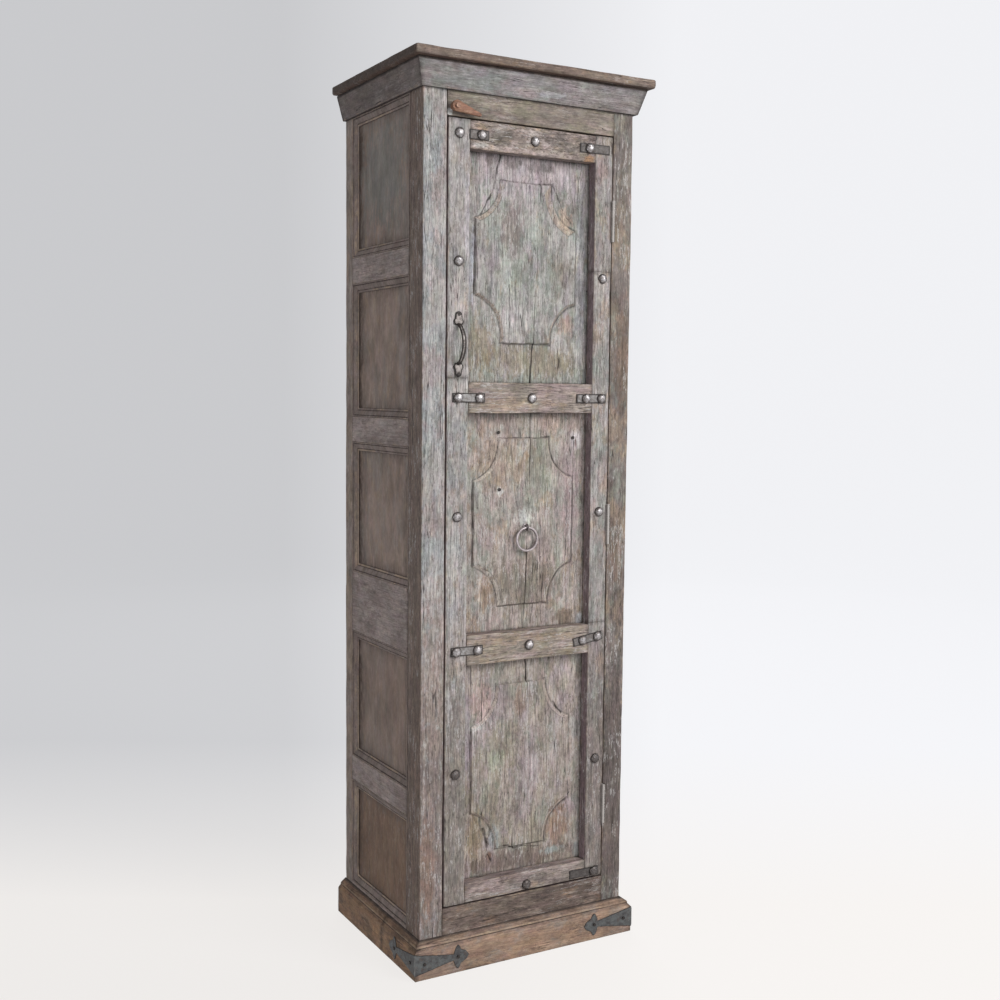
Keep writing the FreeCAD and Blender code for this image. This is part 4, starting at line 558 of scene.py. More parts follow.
middlePanelPaint = paintedWood("middle panel paint", "z", 23.5, (173, 163, 156), [
    (pink, 0.5, 90, 0.50), (sage, 0.5, 100, 0.51), (tan, 0.5, 50, 0.56), (umber, 0.45, 44, 0.58)], spots=[
    ((1, -160, 956), (19, 40, 20), (212, 212, 206), 0.9), ((149, -156, 726), (10, 40, 14), (208, 208, 212), 0.9),
    ((112, -156, 734), (30, 40, 22), (116, 96, 80), 0.7), ((0, -160, 815), (110, 40, 60), (124, 113, 101), 0.7),
    ((40, -160, 1070), (38, 40, 70), (142, 142, 128), 0.6), ((4, -160, 1092), (6, 40, 12), (172, 140, 106), 0.5),
    ((-60, -160, 1080), (60, 40, 60), (166, 144, 124), 0.5), ((133, -156, 1124), (15, 40, 20), (214, 206, 208), 0.9),
    ((133, -156, 1117), (4, 40, 12), (94, 74, 70), 0.9), ((118, -156, 1000), (22, 40, 150), (172, 150, 154), 0.5),
    ((-55, -158, 1129), (13, 40, 12), (196, 184, 178), 0.9),
    ((-60, -160, 1016), (10, 40, 10), (208, 206, 202), 0.9), ((-90, -158, 796), (20, 40, 34), (160, 134, 112), 0.6),
    ((0, -156, 1160), (150, 40, 20), (168, 148, 138), 0.5)],
    bare=(202, 190, 178), bareAmount=0.7, **panelPaint)
# The pale spot at -114, 509 is a painted highlight on the crest of the lower left scoop, and the pale bare colour
# stands for the crests' painted highlight as well as for bare wood.
bottomPanelPaint = paintedWood("bottom panel paint", "z", 24.9, (168, 156, 148), [
    (lilac, 0.45, 100, 0.51), (olive, 0.5, 80, 0.53), (sage, 0.4, 70, 0.54), (umber, 0.45, 44, 0.58)], spots=[
    ((-101, -156, 563), (30, 40, 38), (186, 160, 157), 0.75), ((-134, -157, 500), (12, 40, 110), (168, 156, 163), 0.6),
    ((-114, -158, 509), (12, 40, 8), (212, 208, 206), 0.8), ((-58, -160, 434), (26, 40, 24), (152, 158, 138), 0.6),
    ((-112, -158, 262), (20, 40, 70), (140, 122, 98), 0.7), ((-73, -158, 218), (9, 40, 14), (104, 70, 54), 0.9),
    ((98, -158, 258), (30, 40, 54), (152, 124, 104), 0.7), ((-6, -160, 560), (12, 40, 40), (130, 106, 92), 0.6),
    ((0, -156, 205), (150, 40, 24), (118, 103, 96), 0.8), ((-66, -158, 262), (9, 40, 34), (166, 170, 172), 0.7),
    ((85, -158, 209), (30, 40, 8), (170, 180, 180), 0.6), ((152, -156, 200), (9, 40, 24), (160, 168, 168), 0.6),
    ((100, -158, 300), (24, 40, 9), (118, 88, 72), 0.6), ((133, -156, 493), (10, 40, 12), (196, 192, 190), 0.6)],
    bare=(190, 174, 164), bareAmount=0.6, **panelPaint)
buttonWood = paintedWood("turn button wood", "x", 25.3, (142, 102, 81), [
    ((118, 81, 62), 0.6, 40, 0.51), ((160, 122, 98), 0.6, 24, 0.54)], pale=(186, 152, 130), bare=(164, 128, 104),
    crackAmount=0.4, fleckAmount=0.3, splitAmount=0.3, patch=0.12, rough=0.5, aside=(74, 50, 40), asideAmount=0.9,
    dirt=(52, 34, 28))
zincIron = wornIron("galvanised straps", 1.0, (122, 116, 113), (88, 81, 78), (188, 187, 187), 0.12, lightAmount=0.8,
                    rough=0.6, rust=(98, 82, 73), rustAmount=0.4, size=8.0, bump=0.5)
nailIron = wornIron("nail heads", 2.0, (104, 98, 96), (60, 54, 52), (212, 209, 211), 0.65, lightAmount=0.75,
                    rough=0.27, rust=(88, 70, 61), rustAmount=0.6, size=6.0, bump=0.6, rimAmount=0.95)
cornerIron = wornIron("corner strap iron", 3.0, (94, 97, 97), (62, 60, 62), (150, 148, 146), 0.2, lightAmount=0.6,
                      rough=0.55, rust=(88, 72, 64), rustAmount=0.5, size=11.0, bump=0.5)
blackIron = wornIron("black iron", 4.0, (52, 46, 44), (32, 28, 27), (168, 160, 156), 0.4, lightAmount=0.85, rough=0.4,
                     rust=(80, 62, 52), size=6.0)
# The hinges carry a painted highlight down their knuckles.
hingeIron = wornIron("hinge iron", 6.0, (46, 41, 39), (30, 27, 26), (186, 180, 175), 0.2, rough=0.5,
                     rubbedLine=(201.0, 3.0))
screwIron = wornIron("button screw", 7.0, (160, 120, 96), (98, 68, 54), (190, 152, 126), 0.2, rust=(110, 78, 58),
                     size=6.0)
ringIron = wornIron("ring iron", 5.0, (150, 138, 140), (88, 80, 80), (214, 204, 206), 0.35, lightAmount=0.85,
                    rough=0.4, rust=(104, 90, 84), size=9.0)
print("materials made:", len(bpy.data.materials))

posts = [("post_front_left", "case_paint", greyPost), ("post_front_right", "case_paint", tanPost),
         ("post_back_left", "side_paint", rearPostPaint), ("post_back_right", "side_paint", rearPostPaint)]
for seed, (node, slotName, finish) in enumerate(posts, 1):
    low, high = boxOf(node)
    wornPiece(node, "case", finish, [board(low, high, "z", round=2.4, dent=0.8, seed=seed)])

# The rails show only between the posts; their tenons lie inside the posts.
for node, finish in (("case_head_rail", headPaint), ("case_sill_rail", sillPaint)):
    low, high = boxOf(node)
    low[0], high[0] = boxOf("post_front_left")[1][0], boxOf("post_front_right")[0][0]
    wornPiece(node, "case", finish, [board(low, high, "x", seed=5, dent=0.7)])

low, high = boxOf("crown_board")
wornPiece("crown_board", "case", crownPaint,
          [board(low, high, "x", round=5.5, corners=(0.5, 1, 1, 0.5), endRound=5.0, uneven=0.35, dent=0.9, seed=6)])
print("posts and rails made")

# Side frames: rails, sunk panels, and a sloped moulding of four mitred strips in each bay.
sideFrame = dict(railThick=26.0, panelThick=10.0, stepsPerSide=26,
                 # how far painted shade reaches in from the frame, and how far the panel darkens from the rear upright
                 soot=0.6, sootFrom=20, sootReach=16, rearSoot=0.95, rearFrom=22, rearReach=26,
                 # inward, rise, wear, grime; the grime is also painted shade in the quirks and at the feet
                 moulding=[(0, 0, 0, 1), (0, 9.4, 0, 0.8), (0.8, 9.9, 0.7, 0), (2.4, 9.7, 0.7, 0), (3.2, 8.0, 0, 1),
                           (4.4, 7.4, 0, 0.9), (5.2, 7.8, 0, 0), (8, 6.6, 0, 0), (12, 4.8, 0.1, 0),
                           (13.6, 3.9, 0.3, 0), (14.4, 2.6, 0, 0.9), (15.4, 2.2, 0, 0.8), (16.2, 2.9, 1.3, 0),
                           (19.0, 2.1, 1.3, 0), (20, 0.9, 0, 1), (20, 0, 0, 1)])


# A closed moulding: the profile (inward from the frame, out from the panel) carried round the bay's four sides, its
# corners on the mitre because each point's path is the bay drawn in by that point's inward distance.
def bayMoulding(outSign, y0, y1, z0, z1, panelX, seed):
    profile = np.array(sideFrame["moulding"], float)
    perSide = sideFrame["stepsPerSide"]
    step = np.arange(perSide * 4)
    sideOf, part = step // perSide, (step % perSide / perSide)[:, None]
    inward, rise, wear, grime = profile.T[:, None]
    cornersY = np.stack([y0 + inward, y1 - inward, y1 - inward, y0 + inward])[:, 0]
    cornersZ = np.stack([z0 + inward, z0 + inward, z1 - inward, z1 - inward])[:, 0]
    y = cornersY[sideOf] * (1 - part) + cornersY[(sideOf + 1) % 4] * part
    z = cornersZ[sideOf] * (1 - part) + cornersZ[(sideOf + 1) % 4] * part
    rings = np.stack([np.zeros_like(y), y, z], -1)
    drop = 0.9 * smooth(lumps(rings, (30, 30, 30), seed), -0.3, 0.8) * smooth(rise, 0.5, 2.0)
    rings[..., 0] = panelX + outSign * (rise - drop)
    # the rubbed rows are broken by noise, and are whole and wide on the rear upright
    rubbed = smooth(lumps(rings, (34, 34, 34), seed + 3), -0.5, 0.4)
    rear = (sideOf == 1)[:, None]
    wear = np.where(rear, np.maximum(wear, 0.8 * (inward > 7) * (rise > 2)) * (0.6 + 0.4 * rubbed), wear * rubbed)
    return carried(rings, wear, grime * (1 - 0.5 * rear * (inward < 19)) * np.ones_like(y), closedPath=True)


for side, sign in (("left", -1), ("right", 1)):
    y0, y1 = joinery["sideFrom"], joinery["sideTo"]
    outer = sign * joinery["side"]
    low, high = boxOf("side_rails_" + side)
    edges = [low[2]] + [z for bay in joinery["sideBays"] for z in bay] + [high[2]]
    rails = []
    for k in range(6):
        xs = sorted((outer, outer - sign * sideFrame["railThick"]))
        rails.append(board((xs[0], y0, edges[2 * k]), (xs[1], y1, edges[2 * k + 1]), "y", seed=20 + k, round=1.2))
    wornPiece("side_rails_" + side, "case", sideRailPaint, rails)
    panels, mouldings = [], []
    panelX = outer - sign * joinery["panelDeep"]
    for k, (foot, head) in enumerate(joinery["sideBays"]):
        xs = sorted((panelX, panelX - sign * sideFrame["panelThick"]))
        points, faces, marks = board((xs[0], y0, foot), (xs[1], y1, head), "z", seed=40 + k, round=0.4, dent=1.1,
                                     sideStep=8, step=10, endRound=0.4)
        nearest = np.minimum(np.minimum(points[:, 1] - y0, y1 - points[:, 1]),
                             np.minimum(points[:, 2] - foot, head - points[:, 2]))
        nearest = nearest + 12 * lumps(points, 60, 45 + k)
        rear = y1 - points[:, 1] + 10 * lumps(points, 50, 55 + k)
        # Painted shade: the sunk panel darkens towards the frame round it; it also darkens towards the rear upright.
        inFrame = np.exp(-np.clip(nearest - sideFrame["sootFrom"], 0, None) / sideFrame["sootReach"])
        atRear = np.exp(-np.clip(rear - sideFrame["rearFrom"], 0, None) / sideFrame["rearReach"])
        marks[:, 1] = np.maximum(sideFrame["soot"] * inFrame, sideFrame["rearSoot"] * atRear)
        panels.append((points, faces, marks))
        mouldings.append(bayMoulding(sign, y0, y1, foot, head, panelX, 60 + k))
    wornPiece("side_panels_" + side, "case", sidePanelPaint, panels)
    wornPiece("side_mouldings_" + side, "case", sideEdgePaint, mouldings)
print("side frames made")

# Cornice and plinth: a profile (out from the case, height, wear, grime, turned aside) carried along the board. The
# grime column is also painted shade in the quirks and where the trims meet the case, the crown and the floor, and the
# turned aside column places painted shade. An end is cut on the mitre because each point runs on by its own distance
# out.
cornice = [(0.0, 1827.5, 0, 1, 0), (6.6, 1827.5, 0.2, 0.5, 0), (7.4, 1828.6, 0.7, 0, 0), (10.2, 1838, 0, 0, 0),
           (13.0, 1848, 0, 0, 0), (15.8, 1858, 0, 0, 0), (18.6, 1868, 0, 0, 0), (20.4, 1874.5, 0.1, 0.1, 0),
           (21.0, 1876.8, 0.1, 0.6, 0.6), (21.5, 1878.4, 0, 0.9, 1), (21.5, 1880.4, 0, 0.9, 1), (0.0, 1880.4, 0, 0, 0)]
plinth = [(0.0, 0.0, 0, 0.5, 0), (18.6, 0.0, 0.3, 0.6, 0), (19.3, 0.8, 0.3, 0.3, 0), (19.3, 15, 0, 0, 0),
          (19.3, 30, 0, 0, 0), (19.3, 45, 0, 0, 0), (19.3, 56.5, 0.2, 0, 0), (18.9, 58.6, 0.8, 0, 0),
          (18.2, 59.8, 0.4, 0, 0.3), (16.4, 61.6, 0, 0, 0.5), (13.8, 64.4, 0, 0.1, 0.5), (13.2, 65.4, 0, 1, 0.5),
          (13.2, 66.4, 0, 0.8, 0.5), (13.4, 67.2, 0.8, 0, 0), (12.8, 69.2, 1.2, 0, 0), (12.0, 70.2, 0.6, 0, 0.5),
          (6.0, 74.6, 0, 0.1, 0.55), (0.0, 79.0, 0, 1, 1)]


# One length of a profile; its dents and the dirt at both its ends are worked out along the run.
def trim(profile, side, start, stop, mitreStart, mitreStop, seed, dent=0.7, step=11.0):
    out, height, wear, grime, aside = np.array(profile, float).T[:, None]
    rows = int(abs(stop - start) / step) + 2
    part = np.linspace(0, 1, rows)[:, None]
    run = (start - out * mitreStart) * (1 - part) + (stop + out * mitreStop) * part
    keys = np.stack([run, out + 0 * run, height + 0 * run], -1)
    dip = dent * (0.5 + 0.5 * lumps(keys, (70, 9, 12), seed)) * (out > 0.5)
    outward = out - dip
    if side == "front":
        rings = np.stack([run, joinery["front"] - outward, height + 0 * run], -1)
    else:
        rings = np.stack([side * (joinery["side"] + outward), run, height + 0 * run], -1)
    ends = np.minimum(part, 1 - part) * abs(stop - start)
    return carried(rings, wear, np.maximum(grime, np.exp(-ends / 6.0) * 0.7), aside)


sideX, frontY = joinery["side"], joinery["front"]
corniceBack, plinthBack = boxOf("cornice_left")[1][1], boxOf("plinth_left_back")[1][1]
butt, buttGap = boxOf("plinth_left_back")[0][1], 0.3
corniceSidePaint = paintedWood("side cornice paint", "y", 26.1, (120, 109, 105), [
    ((112, 99, 93), 0.6, 100, 0.48), ((136, 126, 124), 0.4, 60, 0.54)], streak=0.16, fine=0.14, paleAmount=0.2,
    crackAmount=0.3, aside=(70, 58, 52), asideAmount=0.8)
# solid, slot, finish, profile, side (-1 left, 1 right), start, stop, whether each end is mitred
trims = [("cornice_front", "case_paint", cornicePaint, cornice, "front", -sideX, sideX, 1, 1),
         ("cornice_left", "side_paint", corniceSidePaint, cornice, -1, frontY, corniceBack, 1, 0),
         ("cornice_right", "side_paint", corniceSidePaint, cornice, 1, frontY, corniceBack, 1, 0),
         ("plinth_front", "plinth_wood", plinthWood, plinth, "front", -sideX, sideX, 1, 1),
         ("plinth_left_front", "plinth_wood", plinthSideWood, plinth, -1, frontY, butt - buttGap, 1, 0),
         ("plinth_left_back", "plinth_wood", plinthSideWood, plinth, -1, butt + buttGap, plinthBack, 0, 0),
         ("plinth_right", "plinth_wood", plinthSideWood, plinth, 1, frontY, plinthBack, 1, 0)]
for seed, (node, slotName, finish, *course) in enumerate(trims, 71):
    wornPiece(node, "case", finish, [trim(*course, seed)])
print("cornice and plinth made")

for seed, node in enumerate(("bottom_board", "shelf_lower", "shelf_middle", "shelf_upper"), 81):
    low, high = boxOf(node)
    wornPiece(node, "case", insideWood,
              [board(low, high, "x", seed=seed, round=1.0, step=16, sideStep=14)])
tongue = dict(inside=2, over=0.1, sunk=4, short=1)     # into its board, past the next board's edge, and within both
for seed, node in enumerate(("back_board_left", "back_board_middle", "back_board_right"), 91):
    low, high = boxOf(node)
    shells = [board(low, high, "z", seed=seed, round=1.2, step=16, sideStep=12)]
    if node == "back_board_middle":
        # a thin tongue on each edge closes the seam to the next board
        for root, tip in ((low[0] + tongue["inside"], boxOf("back_board_left")[1][0] + tongue["over"]),
                          (high[0] - tongue["inside"], boxOf("back_board_right")[0][0] - tongue["over"])):
            x0, x1 = sorted((root, tip))
            shells.append(board((x0, low[1] + tongue["sunk"], low[2] + tongue["short"]),
                                (x1, high[1] - tongue["sunk"], high[2] - tongue["short"]), "z", round=0.2, dent=0.0,
                                endRound=0.1, step=40))
    wornPiece(node, "case", backWood, shells)


# Small parts and hidden ones keep their solids, and only get their finish.
def finishNodes(nodes, finish):
    for node in nodes:
        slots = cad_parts[node].data.materials
        slots.clear()
        slots.append(finish)


backRailWood = paintedWood("back rail wood", "x", 27.0, (136, 116, 98), [
    ((116, 96, 80), 0.6, 120, 0.48)], paleAmount=0.3)
finishNodes(["back_rails"], backRailWood)
finishNodes(["shelf_bearers_left", "shelf_bearers_right"], backWood)
finishNodes(["turn_button_block"], buttonWood)
finishNodes(["hinge_case_leaves", "hinge_door_leaves", "hinge_pins", "hinge_case_screws", "hinge_door_screws"],
            hingeIron)
finishNodes(["turn_button_screw"], screwIron)
finishNodes(["panel_old_nails", "corner_strap_nails", "handle_nails"], blackIron)
print("inside and back made")

# Corner straps: a flat band bent round the plinth's corner. Its half height goes from the root down to the neck, out
# to the two lobes of the head and in to the tip; the band lies on the side, turns the corner and lies on the front.
cornerStrap = dict(middle=35.0, thick=1.8, cornerX=274.6, cornerY=-201.6, long=128,
                   at=[0, 20, 60, 92, 94.5, 98, 102.1, 106, 110, 115, 121, 125, 128],
                   half=[23, 19.4, 12.1, 6.6, 14, 22, 25.6, 23, 15, 12.5, 10, 6, 0.8],
                   rows=90, edgeDrop=0.7, ragged=0.5, dent=0.25, rubReach=2.0, rimReach=1.2)


# The section at each reach is the front from edge to edge and then the back; its front dips at the edges as a square.
def cornerBand(sign, seed):
    arm = np.linspace(1, cornerStrap["long"], cornerStrap["rows"])
    reach = np.concatenate([-np.linspace(cornerStrap["long"], 1, cornerStrap["rows"]), np.linspace(-0.8, 0.8, 5), arm])
    half = np.interp(np.abs(reach), cornerStrap["at"], cornerStrap["half"])[:, None]
    turn = np.linspace(0, 1, 11)
    across = np.concatenate([-1 + 2 * turn, 1 - 2 * turn])
    outer = np.concatenate([np.ones(11), np.zeros(11)])
    edge = np.clip((1 - np.abs(across)) * half, 0, 1)
    reach = reach[:, None] + 0 * half * across
    out = np.where(outer > 0, -cornerStrap["edgeDrop"] * (1 - edge) ** 2, -cornerStrap["thick"])
    height = cornerStrap["middle"] + across * half
    height = height + cornerStrap["ragged"] * lumps(np.stack([reach, height, 0 * height], -1), 9, seed)
    hollows = 1 + lumps(np.stack([reach, height, 0 * height], -1), 16, seed + 1)
    out = out - cornerStrap["dent"] * hollows * outer
    onSide, onFace = np.clip(-reach, 0, None), np.clip(reach, 0, None)
    x = sign * cornerStrap["cornerX"] - sign * onFace + sign * np.where(reach < 0.5, out, 0)
    y = cornerStrap["cornerY"] + onSide - np.where(reach > -0.5, out, 0)
    wear = np.exp(-np.abs(reach) / cornerStrap["rubReach"]) * outer
    rim = np.exp(-(1 - np.abs(across)) * half / cornerStrap["rimReach"]) * (wear < 0.5)
    return carried(np.stack([x, y, height], -1), wear, rim)


for side, sign in (("left", -1), ("right", 1)):
    wornPiece("corner_strap_" + side, "case", cornerIron, [cornerBand(sign, 100 + sign)])

# Door: its outer edges, the three bays between its rails, and the heights where its stiles are pieced.
door = dict(left=-197.0, right=202.0, foot=139.0, head=1774.7, bayLeft=-147.0, bayRight=157.5,
            bays=[(181.0, 651.9), (715.9, 1180.8), (1244.8, 1716.7)], latchJoins=[1253.0], hingeJoins=[719.0, 1487.0])
railEdges = [door["foot"], *[z for bay in door["bays"] for z in bay], door["head"]]
midY, backY = joinery["panelGround"], joinery["frameBack"]
hiddenLayer = dict(round=0.15, dent=0.0, endRound=0.02, step=30, sideStep=20)


# A frame board in two layers: the full width in front, and behind it what the rebates for the panels leave.
def stile(x0, x1, bayEdge, joins, seed):
    shells = []
    cuts = [door["foot"]] + joins + [door["head"]]
    for k in range(len(cuts) - 1):
        shells.append(board((x0, frontY, cuts[k]), (x1, midY, cuts[k + 1]), "z", seed=seed + k, round=2.2,
                            uneven=0.9, dent=0.8, corners=(0.15, 0.15, 1, 1)))
    heights = [door["foot"]]
    for foot, head in door["bays"]:
        heights += [foot - joinery["rebate"], head + joinery["rebate"]]
    heights.append(door["head"])
    for k in range(len(heights) - 1):
        cut = joinery["rebate"] * (k % 2)       # every second stretch lies beside a bay
        low, high = (x0, x1 - cut) if bayEdge == "right" else (x0 + cut, x1)
        shells.append(board((low, midY, heights[k]), (high, backY, heights[k + 1]), "z", seed=seed + 9, **hiddenLayer))
    return shells


wornPiece("door_stile_latch", "door", stilePaint,
          stile(door["left"], door["bayLeft"], "right", door["latchJoins"], 111))
wornPiece("door_stile_hinge", "door", hingeStilePaint,
          stile(door["bayRight"], door["right"], "left", door["hingeJoins"], 121))

railPaints = [("bottom", bottomRailPaint), ("lower", lowerRailPaint), ("upper", upperRailPaint), ("top", topRailPaint)]
for k, (where, finish) in enumerate(railPaints):
    x0, x1 = door["bayLeft"], door["bayRight"]
    foot, head = railEdges[2 * k], railEdges[2 * k + 1]
    rearFoot = foot + joinery["rebate"] * (k > 0)
    rearHead = head - joinery["rebate"] * (k < 3)
    wornPiece("door_rail_" + where, "door", finish,
              [board((x0, frontY, foot), (x1, midY, head), "x", seed=131 + k, round=2.2, uneven=1.0, dent=0.9,
                     corners=(0.15, 1, 1, 0.15)),
               board((x0, midY, rearFoot), (x1, backY, rearHead), "x", seed=141, **hiddenLayer)])
print("door frame made")

fieldForm = dict(left=24.0, right=34.0, head=53.0, scoopRadius=84.0, edge=2.4, rise=5.0, rowStep=1.8, columns=92)
evenScoops = [(61, 88)] * 4
# Per panel: its bay, the ground below the field, the seam's place at foot and head as shares of the width, how far the
# seam gapes (height, mm), the width of the scoops' bevels, the outline's darkness (a painted shadow line round the
# field), chips (x, z, size), and splits (width, depth, and the points x, z that each runs through).
panelLooks = {
    "top": dict(bay=2, low=82.5, seam=(0.532, 0.604), finish=topPanelPaint, seed=151, chips=[(-70, 1330, 10)],
                scoops=[(60, 80), (61, 99), (63, 92), (61, 88)], edges=(9, 6, 18, 5), outline=0.9,
                gape=[(1235, 1.5), (1320, 1.2), (1345, 0.4), (1500, 0.05), (1625, 0.1), (1640, 0.6), (1664, 0.8),
                      (1680, 0.05)],
                splits=[(2.4, 1.4, [(-62, 1716), (-66, 1705), (-72, 1681), (-75, 1660), (-82, 1638), (-108, 1592)]),
                        (2.0, 1.0, [(66, 1664), (80, 1636), (92, 1610), (112, 1588)]),
                        (1.2, 0.8, [(-41, 1450), (-40, 1330)])]),
    "middle": dict(bay=1, low=53.0, seam=(0.498, 0.537), finish=middlePanelPaint, seed=161, chips=[(-105, 1080, 20)],
                   scoops=evenScoops, edges=(6, 8, 5, 5), outline=1.0,
                   gape=[(706, 0.2), (760, 0.5), (800, 1.0), (890, 0.9), (905, 0.3), (1000, 0.1), (1060, 0.6),
                         (1100, 0.8), (1150, 0.4), (1190, 0.7)],
                   splits=[(1.0, 0.6, [(44, 870), (42, 800)]), (1.2, 0.8, [(109, 1020), (108, 870)])]),
    "bottom": dict(bay=0, low=53.0, seam=(0.592, 0.520), finish=bottomPanelPaint, seed=171,
                   chips=[(-92, 262, 24), (102, 262, 22), (-112, 300, 12), (100, 520, 16)],
                   scoops=evenScoops, edges=(6, 5, 9, 8), outline=0.8,
                   gape=[(171, 0.3), (240, 0.6), (300, 0.3), (560, 0.15), (598, 0.6), (604, 3.2), (610, 1.0),
                         (660, 1.3)],
                   splits=[(4.4, 3.2, [(-91, 284), (-88, 273), (-84.5, 264), (-81, 252), (-79.5, 241)]),
                           (4.0, 2.0, [(-77, 224), (-70, 212)]), (1.8, 1.0, [(84, 546), (94, 530), (104, 518)]),
                           (1.4, 0.9, [(130, 334), (112, 318), (100, 309)]),
                           (1.8, 1.1, [(-52, 241), (-30, 238), (-12, 228), (6, 231), (28, 226), (52, 223)]),
                           (1.2, 0.8, [(146, 520), (148, 460)])]),
}


# How far a point lies inside the raised field: the least of its distances to the four sides and to the four scoop
# circles, whose centres lie outside the corners so that each scoop leaves the sides at its width and height. The
# scoops come in the order upper left, lower left, upper right, lower right.
def fieldDepth(x, z, foot, head, low, sizes):
    x0, x1 = door["bayLeft"] + fieldForm["left"], door["bayRight"] - fieldForm["right"]
    z0, z1 = foot + low, head - fieldForm["head"]
    sides = np.minimum(np.minimum(x - x0, x1 - x), np.minimum(z - z0, z1 - z))
    radius, scoops = fieldForm["scoopRadius"], []
    corners = ((x0, 1, z1, -1), (x0, 1, z0, 1), (x1, -1, z1, -1), (x1, -1, z0, 1))
    for (cornerX, inX, cornerZ, inZ), (wide, tall) in zip(corners, sizes):
        chord = math.hypot(wide, tall)
        lift = math.sqrt(radius ** 2 - chord ** 2 / 4)
        # the centre stands off the chord's middle, towards the corner
        offX, offZ = wide / 2 - lift * tall / chord, tall / 2 - lift * wide / chord
        scoops.append(np.hypot(x - (cornerX + inX * offX), z - (cornerZ + inZ * offZ)) - radius)
    return sides, np.stack(scoops)


# The distance from each point to a path of straight runs: the least of the distances to its runs.
def toPath(x, z, path):
    least = np.full(np.shape(x), 1e6)
    for (startX, startZ), (stopX, stopZ) in zip(path[:-1], path[1:]):
        runX, runZ = stopX - startX, stopZ - startZ
        part = np.clip(((x - startX) * runX + (z - startZ) * runZ) / (runX ** 2 + runZ ** 2), 0, 1)
        least = np.minimum(least, np.hypot(x - startX - part * runX, z - startZ - part * runZ))
    return least


